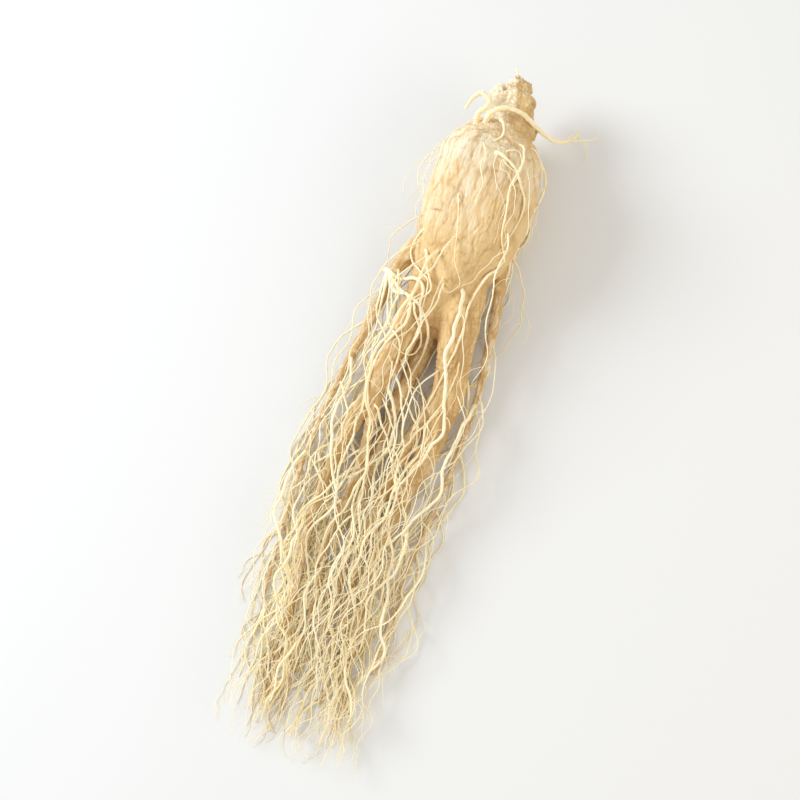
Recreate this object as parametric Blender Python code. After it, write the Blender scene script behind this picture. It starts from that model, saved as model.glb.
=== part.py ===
"""A whole dried ginseng root lying on its side, grown as one piece.

The plump taproot carries a knobbly neck at its head. It forks into legs that taper into
threads, and long rootlets grow from the crown, the flanks and the legs. Everything is fused
into one solid. The head points along +X, the table is the plane z = 0, and the origin lies on
the table below the middle of the root's outline.
"""

import math

import bmesh
import bpy
import numpy as np
from mathutils import Matrix

MM = 0.001

# Driving dimensions, in millimetres.
BODY_LENGTH = 60.0
BODY_RADIUS = 18.6
TAIL_REACH = 238.0
CROWN_X = 102.64
CROWN_Y = 0.94

# Stations of a member: distance tailward from the crown as a share of BODY_LENGTH, then the
# axis's place to the left, its height and the member's radius as shares of BODY_RADIUS.
TAPROOT = (
    (-0.05, -0.10, 1.02, 0.40),
    (0.00, -0.11, 1.00, 0.62),
    (0.06, -0.13, 0.97, 0.81),
    (0.17, -0.16, 0.94, 0.95),
    (0.35, -0.21, 0.97, 1.01),
    (0.55, -0.24, 0.96, 1.00),
    (0.72, -0.22, 0.92, 0.95),
    (0.85, -0.18, 0.83, 0.83),
    (0.95, -0.16, 0.78, 0.69),
    (1.06, -0.18, 0.76, 0.56),
    (1.16, -0.20, 0.73, 0.42),
    (1.25, -0.20, 0.70, 0.27),
)
NECK = (
    (0.07, -0.30, 1.00, 0.52),
    (-0.03, -0.37, 1.02, 0.43),
    (-0.11, -0.36, 1.05, 0.35),
    (-0.19, -0.27, 1.09, 0.31),
    (-0.26, -0.19, 1.11, 0.25),
    (-0.33, -0.12, 1.12, 0.13),
)
LEG_RIGHT = (
    (0.76, -0.38, 0.84, 0.50),
    (0.98, -0.50, 0.78, 0.46),
    (1.15, -0.61, 0.70, 0.42),
    (1.34, -0.74, 0.58, 0.385),
    (1.60, -0.87, 0.43, 0.32),
    (1.90, -0.90, 0.31, 0.25),
    (2.20, -0.78, 0.22, 0.185),
    (2.50, -0.62, 0.15, 0.13),
    (2.84, -0.62, 0.10, 0.09),
    (3.25, -0.80, 0.07, 0.06),
    (3.68, -0.92, 0.05, 0.036),
)
LEG_LEFT = (
    (0.80, 0.06, 0.86, 0.48),
    (1.04, 0.16, 0.84, 0.40),
    (1.26, 0.25, 0.74, 0.335),
    (1.52, 0.40, 0.56, 0.27),
    (1.82, 0.60, 0.38, 0.21),
    (2.16, 0.78, 0.23, 0.15),
    (2.56, 0.80, 0.13, 0.10),
    (3.05, 0.62, 0.08, 0.064),
    (3.62, 0.48, 0.05, 0.036),
)
LEG_UNDER = (
    (0.76, -0.12, 0.50, 0.34),
    (1.08, -0.16, 0.42, 0.27),
    (1.44, -0.10, 0.31, 0.20),
    (1.86, 0.04, 0.22, 0.14),
    (2.34, 0.06, 0.15, 0.095),
    (2.92, -0.14, 0.10, 0.060),
    (3.52, -0.20, 0.05, 0.036),
)
SIDE_ROOT_LEFT = (
    (0.68, 0.36, 0.74, 0.27),
    (0.84, 0.66, 0.72, 0.21),
    (0.96, 0.84, 0.66, 0.165),
    (1.16, 0.96, 0.52, 0.13),
    (1.50, 1.12, 0.34, 0.10),
    (1.95, 1.30, 0.19, 0.075),
    (2.45, 1.34, 0.10, 0.052),
    (3.10, 1.16, 0.05, 0.036),
)
SIDE_ROOT_RIGHT = (
    (0.66, -0.84, 0.62, 0.18),
    (0.88, -1.12, 0.54, 0.14),
    (1.18, -1.30, 0.40, 0.11),
    (1.58, -1.42, 0.26, 0.085),
    (2.05, -1.42, 0.15, 0.062),
    (2.65, -1.28, 0.08, 0.045),
    (3.30, -1.30, 0.05, 0.034),
)
FORK_RIGHT = (
    (1.56, -0.84, 0.46, 0.22),
    (1.78, -0.60, 0.38, 0.165),
    (2.06, -0.42, 0.27, 0.125),
    (2.45, -0.30, 0.17, 0.09),
    (2.95, -0.38, 0.10, 0.06),
    (3.55, -0.52, 0.05, 0.036),
)
FORK_LEFT = (
    (1.64, 0.50, 0.48, 0.17),
    (1.86, 0.36, 0.42, 0.13),
    (2.16, 0.28, 0.30, 0.10),
    (2.60, 0.36, 0.17, 0.07),
    (3.10, 0.22, 0.10, 0.05),
    (3.70, 0.10, 0.05, 0.034),
)
# Each member's points along its length and its bevel_resolution, which gives 4 sides and 2 more
# for each step.
MEMBERS = (
    ("neck", NECK, 7, 2),
    ("leg_right", LEG_RIGHT, 19, 3),
    ("leg_left", LEG_LEFT, 17, 2),
    ("leg_under", LEG_UNDER, 13, 1),
    ("side_root_left", SIDE_ROOT_LEFT, 14, 1),
    ("side_root_right", SIDE_ROOT_RIGHT, 13, 1),
    ("fork_right", FORK_RIGHT, 11, 1),
    ("fork_left", FORK_LEFT, 11, 1),
)
TAPROOT_POINTS, TAPROOT_ROUNDNESS = 22, 10

# Stem scars and buds on the neck, then a nodule on the left leg: place and radius as for a
# station, then how much longer than wide each is along the root.
KNOBS = (
    (-0.20, 0.14, 1.18, 0.16, 1.60),
    (-0.09, 0.04, 1.08, 0.22, 1.30),
    (-0.05, -0.62, 1.10, 0.23, 1.00),
    (-0.11, -0.20, 1.26, 0.20, 1.00),
    (-0.19, -0.46, 1.22, 0.20, 1.00),
    (-0.25, -0.08, 1.21, 0.15, 1.00),
    (-0.29, -0.32, 1.13, 0.17, 1.00),
    (-0.16, -0.32, 0.86, 0.23, 1.20),
    (-0.04, -0.54, 0.82, 0.24, 1.00),
    (-0.24, -0.18, 0.94, 0.18, 1.00),
    (0.00, -0.18, 1.24, 0.22, 1.00),
    (-0.32, -0.10, 1.17, 0.13, 1.10),
    (1.13, 0.36, 1.04, 0.17, 1.50),
)
KNOB_SEGMENTS, KNOB_RINGS = 8, 6

# Thick roots that spring from the crown, in millimetres: headward from the crown, to the left,
# height, radius. The first is curled back over itself, the second swings out to the right.
CROWN_ROOTS = (
    (
        (-3.5, 5.6, 25.0, 1.30),
        (0.6, 6.4, 28.6, 1.15),
        (3.4, 4.4, 30.0, 1.05),
        (6.0, 4.0, 29.8, 1.00),
        (8.5, 7.6, 28.6, 0.95),
        (6.2, 10.2, 27.2, 0.80),
        (1.8, 11.6, 25.8, 0.50),
    ),
    (
        (-3.0, 3.0, 26.0, 1.20),
        (1.2, 2.6, 29.6, 1.10),
        (4.6, -0.6, 30.2, 1.05),
        (6.1, -5.0, 29.6, 1.00),
        (5.8, -9.6, 28.0, 0.95),
        (4.4, -14.6, 23.6, 0.90),
        (4.4, -19.4, 17.4, 0.85),
        (6.0, -23.6, 11.6, 0.80),
        (10.0, -27.4, 5.8, 0.70),
        (15.5, -29.4, 2.0, 0.50),
    ),
    (
        (15.0, -3.4, 21.0, 0.60),
        (19.6, -2.4, 22.0, 0.50),
        (23.4, -1.0, 23.4, 0.32),
    ),
)
CROWN_ROOT_POINTS = 13

# Rootlets grow in groups: member, how many, where on it they start and end (shares of its
# length), the shares of the way to the tail's end that they run, and their base radii in mm.
ROOTLET_GROUPS = (
    ("taproot", 4, 0.05, 0.16, 0.14, 0.30, 0.36, 0.52),
    ("taproot", 5, 0.42, 0.86, 0.40, 0.80, 0.50, 0.80),
    ("leg_right", 9, 0.22, 0.88, 0.55, 0.98, 0.50, 0.85),
    ("leg_left", 8, 0.26, 0.88, 0.55, 0.98, 0.50, 0.80),
    ("leg_under", 5, 0.30, 0.90, 0.60, 0.98, 0.45, 0.70),
    ("side_root_left", 5, 0.24, 0.84, 0.45, 0.95, 0.42, 0.70),
    ("side_root_right", 4, 0.26, 0.84, 0.50, 0.95, 0.42, 0.62),
    ("fork_right", 3, 0.25, 0.85, 0.60, 0.98, 0.42, 0.62),
    ("fork_left", 3, 0.25, 0.85, 0.60, 0.98, 0.42, 0.62),
)
ROOTLET_SEED = 41
ROOTLET_STEPS = 48
ROOTLET_POINTS = 12
ROOTLET_TIP = 0.30
TAPER_POWER = 0.8
START_JITTER = (0.1, 0.9)
THICKEST_SHARE = 0.8

# A rootlet starts inside its member: at this share of the member's radius, less so many of its
# own radii, and never nearer the axis than the last share.
SUNK_SHARE, SUNK_RADII, DEEPEST_SHARE = 0.86, 1.2, 0.3

# A rootlet leaves its member at an angle and bends tailward within BEND_LENGTH. Slow and quick
# waves then sway it, in radians, and it sags to the table.
LEAVE_ANGLE = 0.95
BEND_LENGTH = 16.0
SLOW_SWAY, SLOW_WAVE = 0.50, (36.0, 75.0)
QUICK_SWAY, QUICK_WAVE = 0.34, (14.0, 26.0)
SWAY_STRENGTH = (0.5, 1.0)
UPWARD_SHARE = 0.5
SPREAD_ANGLE = 0.20
SAG_ANGLE, SAG_PER_MM = 0.06, 0.012

# Rootlets wider out than HALF_SPREAD are turned back in by more than GATHER radians.
GATHER = 0.35
HALF_SPREAD = 25.0
FREE_STEPS = 2
SKIN_GAP = 0.15
FLOOR_GAP = 0.12

# Flutes of the taproot's skin: depth as a share of its radius, how many round the root, phase,
# and how far they twist over BODY_LENGTH. Rings circle the shoulder: depth, spacing, and where
# they are strongest and how far they reach, all along the body.
FLUTES = (
    (0.030, 2, 0.6, 1.3),
    (0.024, 3, -1.1, 2.7),
    (0.018, 6, 0.4, 4.0),
)
RING_DEPTH, RING_SPACING, RING_PLACE, RING_REACH = 0.018, 0.17, 0.15, 0.16

ROUTE_SAMPLES = 96
CUTTER_LENGTH, CUTTER_WIDTH, CUTTER_DEPTH = 320.0, 160.0, 20.0
WELD_DISTANCE = 0.000001
SKIN_COLOUR = (0.78, 0.60, 0.34, 1.0)
SKIN_ROUGHNESS = 0.62


def placed(stations):
    """Stations turned into rows of x, y, z and radius, in millimetres."""
    along, left, height, radius = np.array(stations, float).T
    return np.stack(
        (
            CROWN_X - along * BODY_LENGTH,
            CROWN_Y + left * BODY_RADIUS,
            height * BODY_RADIUS,
            radius * BODY_RADIUS,
        ),
        axis=1,
    )


def smooth_route(rows, count):
    """A Catmull-Rom curve through the rows, read at count points evenly spaced along it."""
    padded = np.vstack((2 * rows[0] - rows[1], rows, 2 * rows[-1] - rows[-2]))
    place = np.linspace(0, len(rows) - 1.000001, 40 * len(rows))
    index, share = place.astype(int), (place % 1)[:, None]
    before, start, end, after = (padded[index + i] for i in range(4))
    fine = 0.5 * (
        2 * start
        + (end - before) * share
        + (2 * before - 5 * start + 4 * end - after) * share**2
        + (3 * start - before - 3 * end + after) * share**3
    )
    walked = np.r_[0, np.cumsum(np.linalg.norm(np.diff(fine[:, :3], axis=0), axis=1))]
    even = np.linspace(0, walked[-1], count)
    return np.stack([np.interp(even, walked, column) for column in fine.T], axis=1)


def across(route):
    """The unit tangent, left and up vectors at each point of a route."""
    tangent = np.gradient(route[:, :3], axis=0)
    tangent /= np.linalg.norm(tangent, axis=1, keepdims=True)
    left = np.cross(tangent, (0.0, 0.0, 1.0))
    left /= np.linalg.norm(left, axis=1, keepdims=True)
    return tangent, left, np.cross(left, tangent)


def rootlet_starts(rng, routes):
    """The start, yaw, pitch, length and base radius of each rootlet, group by group.

    Yaw and pitch are measured from straight tailward, to the left and up.
    """
    starts, yaws, pitches, lengths, radii = [], [], [], [], []
    for member, count, first, last, least, most, thin, thick in ROOTLET_GROUPS:
        route = routes[member]
        tangent, left, up = across(route)
        spread = (np.arange(count) + rng.uniform(*START_JITTER, count)) / count
        index = ((first + (last - first) * spread) * (len(route) - 1)).astype(int)
        turn = rng.uniform(0, 2 * math.pi, count)
        normal = np.cos(turn)[:, None] * left[index] + np.sin(turn)[:, None] * up[index]
        around = route[index, 3]
        thickness = np.minimum(rng.uniform(thin, thick, count), THICKEST_SHARE * around)
        off_axis = np.maximum(SUNK_SHARE * around - SUNK_RADII * thickness, DEEPEST_SHARE * around)
        start = route[index, :3] + normal * off_axis[:, None]
        way_left = start[:, 0] - (CROWN_X - TAIL_REACH)
        starts.append(start)
        yaws.append(-LEAVE_ANGLE * normal[:, 1])
        pitches.append(LEAVE_ANGLE * normal[:, 2])
        lengths.append(rng.uniform(least, most, count) * way_left)
        radii.append(thickness)
    return (np.concatenate(part) for part in (starts, yaws, pitches, lengths, radii))


def sway_of(rng, count, amplitude, wave):
    """A function of the distance walked that sways count rootlets, each with its own wave."""
    phase = rng.uniform(0, 2 * math.pi, count)
    length = rng.uniform(*wave, count)
    strength = amplitude * rng.uniform(*SWAY_STRENGTH, count)
    return lambda walked: strength * np.sin(2 * math.pi * walked / length + phase)


def grow_rootlets(rng, routes):
    """Routes of all rootlets, as an array of rootlet, step, then x, y, z and radius.

    A point that would lie inside a member or the table is pushed out of it.
    """
    start, yaw, pitch, length, radius = rootlet_starts(rng, routes)
    count = len(start)
    side_slow, lift_slow = (sway_of(rng, count, SLOW_SWAY, SLOW_WAVE) for _ in range(2))
    side_quick, lift_quick = (sway_of(rng, count, QUICK_SWAY, QUICK_WAVE) for _ in range(2))
    aim = rng.uniform(-SPREAD_ANGLE, SPREAD_ANGLE, count)
    spheres = np.concatenate(list(routes.values()))
    row = np.arange(count)
    taper = np.linspace(1, 0, ROOTLET_STEPS + 1) ** TAPER_POWER
    grown = np.empty((count, ROOTLET_STEPS + 1, 4))
    grown[:, 0, :3] = start
    grown[:, :, 3] = ROOTLET_TIP + (radius[:, None] - ROOTLET_TIP) * taper
    for k in range(ROOTLET_STEPS):
        walked = length * k / ROOTLET_STEPS
        here = grown[:, k, :3]
        fresh = np.exp(-walked / BEND_LENGTH)
        settled = 1 - fresh
        side = (here[:, 1] - CROWN_Y) / HALF_SPREAD
        turn = fresh * yaw + settled * (aim + side_slow(walked) + side_quick(walked))
        turn += settled * GATHER * side * np.abs(side)
        lift = UPWARD_SHARE * (lift_slow(walked) + lift_quick(walked))
        sag = SAG_ANGLE + SAG_PER_MM * here[:, 2]
        rise = fresh * pitch + settled * (lift - sag)
        heading = np.stack(
            (-np.cos(turn) * np.cos(rise), -np.sin(turn) * np.cos(rise), np.sin(rise)), axis=1
        )
        point = here + heading * (length / ROOTLET_STEPS)[:, None]
        if k >= FREE_STEPS:
            apart = point[:, None] - spheres[None, :, :3]
            distance = np.linalg.norm(apart, axis=2)
            nearest = (distance - spheres[:, 3]).argmin(axis=1)
            off = distance[row, nearest]
            short = spheres[nearest, 3] + grown[:, k + 1, 3] + SKIN_GAP - off
            point += apart[row, nearest] / off[:, None] * np.maximum(short, 0)[:, None]
        point[:, 2] = np.maximum(point[:, 2], grown[:, k + 1, 3] + FLOOR_GAP)
        grown[:, k + 1, :3] = point
    return grown


def tube(name, route, roundness, collection):
    """A closed tube whose radius follows the route, made from a curve and turned into a mesh."""
    curve = bpy.data.curves.new(name + "_curve", "CURVE")
    curve.dimensions = "3D"
    curve.bevel_depth = MM
    curve.bevel_resolution = roundness
    curve.use_fill_caps = True
    spline = curve.splines.new("POLY")
    spline.points.add(len(route) - 1)
    for point, (x, y, z, radius) in zip(spline.points, route):
        point.co = (x * MM, y * MM, z * MM, 1)
        point.radius = radius
    guide = bpy.data.objects.new(name + "_curve", curve)
    collection.objects.link(guide)
    graph = bpy.context.evaluated_depsgraph_get()
    mesh = bpy.data.meshes.new_from_object(guide.evaluated_get(graph))
    mesh.name = name
    made = bpy.data.objects.new(name, mesh)
    made.matrix_world = guide.matrix_world
    collection.objects.link(made)
    bpy.data.objects.remove(guide)
    work = bmesh.new()
    work.from_mesh(mesh)
    bmesh.ops.remove_doubles(work, verts=work.verts, dist=WELD_DISTANCE)
    bmesh.ops.recalc_face_normals(work, faces=work.faces)
    work.to_mesh(mesh)
    work.free()
    return made


def knob(name, row, stretch, collection):
    """A swelling longer than it is wide, made from a sphere."""
    x, y, z, radius = row
    mesh = bpy.data.meshes.new(name)
    work = bmesh.new()
    bmesh.ops.create_uvsphere(
        work,
        u_segments=KNOB_SEGMENTS,
        v_segments=KNOB_RINGS,
        radius=radius * MM,
        matrix=Matrix.Translation((x * MM, y * MM, z * MM))
        @ Matrix.Diagonal((stretch, 1.0, 1.0, 1.0))
        @ Matrix.Rotation(math.radians(90), 4, "Y"),
    )
    work.to_mesh(mesh)
    work.free()
    made = bpy.data.objects.new(name, mesh)
    collection.objects.link(made)
    return made


def skin_relief(along, turn):
    """How far the taproot's skin stands out or in, as a share of its radius there.

    Broad flutes run down the body and twist slowly, and shallow rings circle the shoulder.
    """
    reach = np.exp(-(((along - RING_PLACE) / RING_REACH) ** 2))
    relief = RING_DEPTH * np.cos(2 * math.pi * along / RING_SPACING) * reach
    for depth, count, phase, twist in FLUTES:
        relief = relief + depth * np.sin(count * turn + phase + twist * along)
    return relief


def press_relief(body, route):
    """Moves the taproot's vertices in or out from its axis by the skin's relief."""
    mesh = body.data
    points = np.empty(len(mesh.vertices) * 3)
    mesh.vertices.foreach_get("co", points)
    points = points.reshape(-1, 3) / MM
    ordered = route[route[:, 0].argsort()]
    middle = np.stack([np.interp(points[:, 0], ordered[:, 0], ordered[:, c]) for c in (1, 2)], 1)
    arm = points[:, 1:] - middle
    along = (CROWN_X - points[:, 0]) / BODY_LENGTH
    points[:, 1:] += arm * skin_relief(along, np.arctan2(arm[:, 1], arm[:, 0]))[:, None]
    mesh.vertices.foreach_set("co", (points * MM).ravel())
    mesh.update()


def fuse(body, branches):
    """Joins every object of the branches collection to the body, and removes them."""
    union = body.modifiers.new("union", "BOOLEAN")
    union.operation = "UNION"
    union.operand_type = "COLLECTION"
    union.collection = branches
    union.solver = "MANIFOLD"
    graph = bpy.context.evaluated_depsgraph_get()
    joined = bpy.data.meshes.new_from_object(body.evaluated_get(graph))
    body.modifiers.clear()
    body.data = joined
    for piece in list(branches.objects):
        bpy.data.objects.remove(piece)
    bpy.data.collections.remove(branches)


def flatten_underside(body, cutters):
    """Cuts off what lies below the table, which leaves small flats to rest on."""
    mesh = bpy.data.meshes.new("table_cutter")
    work = bmesh.new()
    bmesh.ops.create_cube(
        work,
        size=1.0,
        matrix=Matrix.Translation((0, 0, -CUTTER_DEPTH / 2 * MM))
        @ Matrix.Diagonal((CUTTER_LENGTH * MM, CUTTER_WIDTH * MM, CUTTER_DEPTH * MM, 1)),
    )
    work.to_mesh(mesh)
    work.free()
    cutter = bpy.data.objects.new("table_cutter", mesh)
    cutter.hide_render = True
    cutter.display_type = "WIRE"
    cutters.objects.link(cutter)
    cut = body.modifiers.new("table_cut", "BOOLEAN")
    cut.operation = "DIFFERENCE"
    cut.object = cutter
    cut.solver = "MANIFOLD"


def root_skin():
    """Dry cream-coloured root skin."""
    material = bpy.data.materials.new("root_skin")
    material.use_nodes = True
    shader = material.node_tree.nodes["Principled BSDF"]
    shader.inputs["Base Color"].default_value = SKIN_COLOUR
    shader.inputs["Roughness"].default_value = SKIN_ROUGHNESS
    shader.inputs["Metallic"].default_value = 0.0
    return material


def new_collection(name):
    collection = bpy.data.collections.new(name)
    bpy.context.scene.collection.children.link(collection)
    return collection


def main():
    for old in list(bpy.data.objects):
        bpy.data.objects.remove(old)
    root = new_collection("ginseng_root")
    branches = new_collection("branches")
    cutters = new_collection("cutters")

    routes = {"taproot": smooth_route(placed(TAPROOT), ROUTE_SAMPLES)}
    for name, rows, _, _ in MEMBERS:
        routes[name] = smooth_route(placed(rows), ROUTE_SAMPLES)

    body_route = smooth_route(placed(TAPROOT), TAPROOT_POINTS)
    body = tube("ginseng_root", body_route, TAPROOT_ROUNDNESS, root)
    press_relief(body, body_route)

    for name, rows, points, roundness in MEMBERS:
        tube(name, smooth_route(placed(rows), points), roundness, branches)
    for number, (*station, stretch) in enumerate(KNOBS):
        knob(f"knob_{number}", placed([station])[0], stretch, branches)
    crown = np.array((CROWN_X, CROWN_Y, 0.0, 0.0))
    for number, rows in enumerate(CROWN_ROOTS):
        route = smooth_route(np.array(rows) + crown, CROWN_ROOT_POINTS)
        tube(f"crown_root_{number}", route, 1, branches)
    rng = np.random.default_rng(ROOTLET_SEED)
    keep = np.linspace(0, ROOTLET_STEPS, ROOTLET_POINTS).round().astype(int)
    for number, route in enumerate(grow_rootlets(rng, routes)):
        tube(f"rootlet_{number}", route[keep], 0, branches)

    fuse(body, branches)
    flatten_underside(body, cutters)
    body.data.materials.clear()
    body.data.materials.append(root_skin())


main()
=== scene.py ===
"""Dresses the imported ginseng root: a whole dried root on a pale table in soft light.

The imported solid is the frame, and every length here is in its millimetres until a mesh is made.
The members of the root run where the solid's run. The taproot and the thick parts of its legs
are swept, fused by a voxel remesh and then wrinkled. The neck, the thin ends of the legs, the
crown's roots and the rootlets are pieces of their own that grow out of them.
"""

from __future__ import annotations

import logging
import math
from collections.abc import Callable, Iterable, Sequence
from dataclasses import dataclass, fields
from enum import Enum

import bpy
import numpy as np
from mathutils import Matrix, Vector

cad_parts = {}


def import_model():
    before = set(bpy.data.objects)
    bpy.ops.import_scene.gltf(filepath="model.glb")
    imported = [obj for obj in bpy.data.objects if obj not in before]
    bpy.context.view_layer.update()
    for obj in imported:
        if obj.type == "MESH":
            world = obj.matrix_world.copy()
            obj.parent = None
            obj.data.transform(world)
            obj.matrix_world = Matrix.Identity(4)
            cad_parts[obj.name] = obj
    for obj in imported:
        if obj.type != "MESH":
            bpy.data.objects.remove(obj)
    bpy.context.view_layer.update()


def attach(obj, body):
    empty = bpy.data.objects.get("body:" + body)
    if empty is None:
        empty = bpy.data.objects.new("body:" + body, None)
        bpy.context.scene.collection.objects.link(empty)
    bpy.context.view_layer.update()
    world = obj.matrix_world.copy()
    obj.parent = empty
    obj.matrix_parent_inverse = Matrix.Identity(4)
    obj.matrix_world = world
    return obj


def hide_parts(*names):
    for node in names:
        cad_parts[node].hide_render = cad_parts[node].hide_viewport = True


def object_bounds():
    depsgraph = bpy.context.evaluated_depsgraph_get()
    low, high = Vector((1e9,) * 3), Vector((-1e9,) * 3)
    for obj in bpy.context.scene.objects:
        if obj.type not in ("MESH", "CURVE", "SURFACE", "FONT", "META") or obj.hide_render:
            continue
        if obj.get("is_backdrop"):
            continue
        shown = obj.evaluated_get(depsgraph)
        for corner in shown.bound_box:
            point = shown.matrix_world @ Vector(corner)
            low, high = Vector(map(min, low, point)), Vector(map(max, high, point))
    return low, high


LOG = logging.getLogger("ginseng_root")
MM = 0.001
NODE = "ginseng_root"
TURN = 2 * math.pi
NO_GAP = 1e-6

# Large primes that spread cells over a table of random rows.
HASH_PRIMES = (73856093, 19349663, 83492791)
# How far apart the members' parts of a noise lie, in cells.
MEMBER_SHIFT = 37.7
# A direction that no path runs along: the first vector across a path is made from it.
ODD_WAY = (0.13, 0.31, 0.94)
# The kinds of a shader group's sockets.
COLOUR_KIND = "NodeSocketColor"
NUMBER_KIND = "NodeSocketFloat"
# A Mix node's sockets when it mixes colours: the share and the two colours, and the result.
COLOUR_MIX_INPUTS = (0, 6, 7)
COLOUR_MIX_OUTPUT = 2

Array = np.ndarray
Colour = tuple[float, float, float, float]
Span = tuple[float, float]
Wave = tuple[float, float, float]
Station = tuple[float, float, float, float]
Strand = tuple[float, float, tuple[Span, ...]]

# Stations of a member: distance tailward from the crown as a share of the body's length, then
# the axis's place to the left, its height and the member's radius as shares of its radius.
TAPROOT: tuple[Station, ...] = (
    (-0.05, -0.10, 1.02, 0.40),
    (0.00, -0.11, 1.00, 0.62),
    (0.06, -0.13, 0.97, 0.81),
    (0.17, -0.16, 0.94, 0.95),
    (0.35, -0.21, 0.97, 1.01),
    (0.55, -0.24, 0.96, 1.00),
    (0.72, -0.22, 0.92, 0.95),
    (0.85, -0.18, 0.83, 0.83),
    (0.95, -0.16, 0.78, 0.69),
    (1.06, -0.18, 0.76, 0.56),
    (1.16, -0.20, 0.73, 0.42),
    (1.25, -0.20, 0.70, 0.27),
)
NECK: tuple[Station, ...] = (
    (0.07, -0.30, 1.00, 0.52),
    (-0.03, -0.37, 1.02, 0.43),
    (-0.11, -0.36, 1.05, 0.35),
    (-0.19, -0.27, 1.09, 0.31),
    (-0.26, -0.19, 1.11, 0.25),
    (-0.33, -0.12, 1.12, 0.13),
)
LEGS: dict[str, tuple[Station, ...]] = {
    "leg_right": (
        (0.76, -0.38, 0.84, 0.50),
        (0.98, -0.50, 0.78, 0.46),
        (1.15, -0.61, 0.70, 0.42),
        (1.34, -0.74, 0.58, 0.385),
        (1.60, -0.87, 0.43, 0.32),
        (1.90, -0.90, 0.31, 0.25),
        (2.20, -0.78, 0.22, 0.185),
        (2.50, -0.62, 0.15, 0.13),
        (2.84, -0.62, 0.10, 0.09),
        (3.25, -0.80, 0.07, 0.06),
        (3.68, -0.92, 0.05, 0.036),
    ),
    "leg_left": (
        (0.80, 0.06, 0.86, 0.48),
        (1.04, 0.16, 0.84, 0.40),
        (1.26, 0.25, 0.74, 0.335),
        (1.52, 0.40, 0.56, 0.27),
        (1.82, 0.60, 0.38, 0.21),
        (2.16, 0.78, 0.23, 0.15),
        (2.56, 0.80, 0.13, 0.10),
        (3.05, 0.62, 0.08, 0.064),
        (3.62, 0.48, 0.05, 0.036),
    ),
    "leg_under": (
        (0.76, -0.12, 0.50, 0.34),
        (1.08, -0.16, 0.42, 0.27),
        (1.44, -0.10, 0.31, 0.20),
        (1.86, 0.04, 0.22, 0.14),
        (2.34, 0.06, 0.15, 0.095),
        (2.92, -0.14, 0.10, 0.060),
        (3.52, -0.20, 0.05, 0.036),
    ),
    "side_root_left": (
        (0.68, 0.36, 0.74, 0.27),
        (0.84, 0.66, 0.72, 0.21),
        (0.96, 0.84, 0.66, 0.165),
        (1.16, 0.96, 0.52, 0.13),
        (1.50, 1.12, 0.34, 0.10),
        (1.95, 1.30, 0.19, 0.075),
        (2.45, 1.34, 0.10, 0.052),
        (3.10, 1.16, 0.05, 0.036),
    ),
    "side_root_right": (
        (0.66, -0.84, 0.62, 0.18),
        (0.88, -1.12, 0.54, 0.14),
        (1.18, -1.30, 0.40, 0.11),
        (1.58, -1.42, 0.26, 0.085),
        (2.05, -1.42, 0.15, 0.062),
        (2.65, -1.28, 0.08, 0.045),
        (3.30, -1.30, 0.05, 0.034),
    ),
    "fork_right": (
        (1.56, -0.84, 0.46, 0.22),
        (1.78, -0.60, 0.38, 0.165),
        (2.06, -0.42, 0.27, 0.125),
        (2.45, -0.30, 0.17, 0.09),
        (2.95, -0.38, 0.10, 0.06),
        (3.55, -0.52, 0.05, 0.036),
    ),
    "fork_left": (
        (1.64, 0.50, 0.48, 0.17),
        (1.86, 0.36, 0.42, 0.13),
        (2.16, 0.28, 0.30, 0.10),
        (2.60, 0.36, 0.17, 0.07),
        (3.10, 0.22, 0.10, 0.05),
        (3.70, 0.10, 0.05, 0.034),
    ),
}

# Stem scars and buds on the neck, then how much longer than wide each is along the root.
NECK_KNOBS: tuple[tuple[float, ...], ...] = (
    (-0.19, 0.12, 1.18, 0.18, 1.60),
    (-0.09, 0.04, 1.08, 0.22, 1.30),
    (-0.05, -0.62, 1.10, 0.23, 1.00),
    (-0.11, -0.20, 1.26, 0.20, 1.00),
    (-0.19, -0.46, 1.22, 0.20, 1.00),
    (-0.25, -0.08, 1.21, 0.15, 1.00),
    (-0.29, -0.32, 1.13, 0.17, 1.00),
    (-0.16, -0.32, 0.86, 0.23, 1.20),
    (-0.04, -0.54, 0.82, 0.24, 1.00),
    (-0.24, -0.18, 0.94, 0.18, 1.00),
    (0.00, -0.18, 1.24, 0.22, 1.00),
    (-0.31, -0.14, 1.14, 0.17, 0.90),
)
LEG_NODULE: tuple[float, ...] = (1.13, 0.36, 1.04, 0.17, 1.50)

# The crown's roots and branches, in millimetres: headward from the crown, left, height, radius.
CROWN_ROOTS: tuple[tuple[Station, ...], ...] = (
    (
        (-3.5, 5.6, 25.0, 1.30),
        (0.6, 6.4, 28.6, 1.15),
        (3.4, 4.4, 30.0, 1.05),
        (6.0, 4.0, 29.8, 1.00),
        (8.5, 7.6, 28.6, 0.95),
        (6.2, 10.2, 27.2, 0.80),
        (1.8, 11.6, 25.8, 0.50),
    ),
    (
        (-3.0, 3.0, 26.0, 1.20),
        (1.2, 2.6, 29.6, 1.10),
        (4.6, -0.6, 30.2, 1.05),
        (6.1, -5.0, 29.6, 1.00),
        (5.8, -9.6, 28.0, 0.95),
        (4.4, -14.6, 23.6, 0.90),
        (4.4, -19.4, 17.4, 0.85),
        (6.0, -23.6, 11.6, 0.80),
        (10.0, -27.4, 5.8, 0.70),
        (15.5, -29.4, 2.0, 0.36),
    ),
    (
        (8.6, -26.5, 7.2, 0.42),
        (11.0, -31.0, 5.6, 0.32),
        (13.6, -35.2, 3.6, 0.22),
        (17.6, -36.6, 1.6, 0.13),
    ),
    (
        (12.6, -28.5, 3.8, 0.36),
        (11.4, -32.2, 2.6, 0.25),
        (7.4, -35.0, 1.2, 0.16),
        (4.0, -34.2, 0.6, 0.10),
    ),
    (
        (15.0, -3.4, 21.0, 0.60),
        (19.6, -2.4, 22.0, 0.50),
        (23.4, -1.0, 23.4, 0.32),
    ),
)

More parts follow.
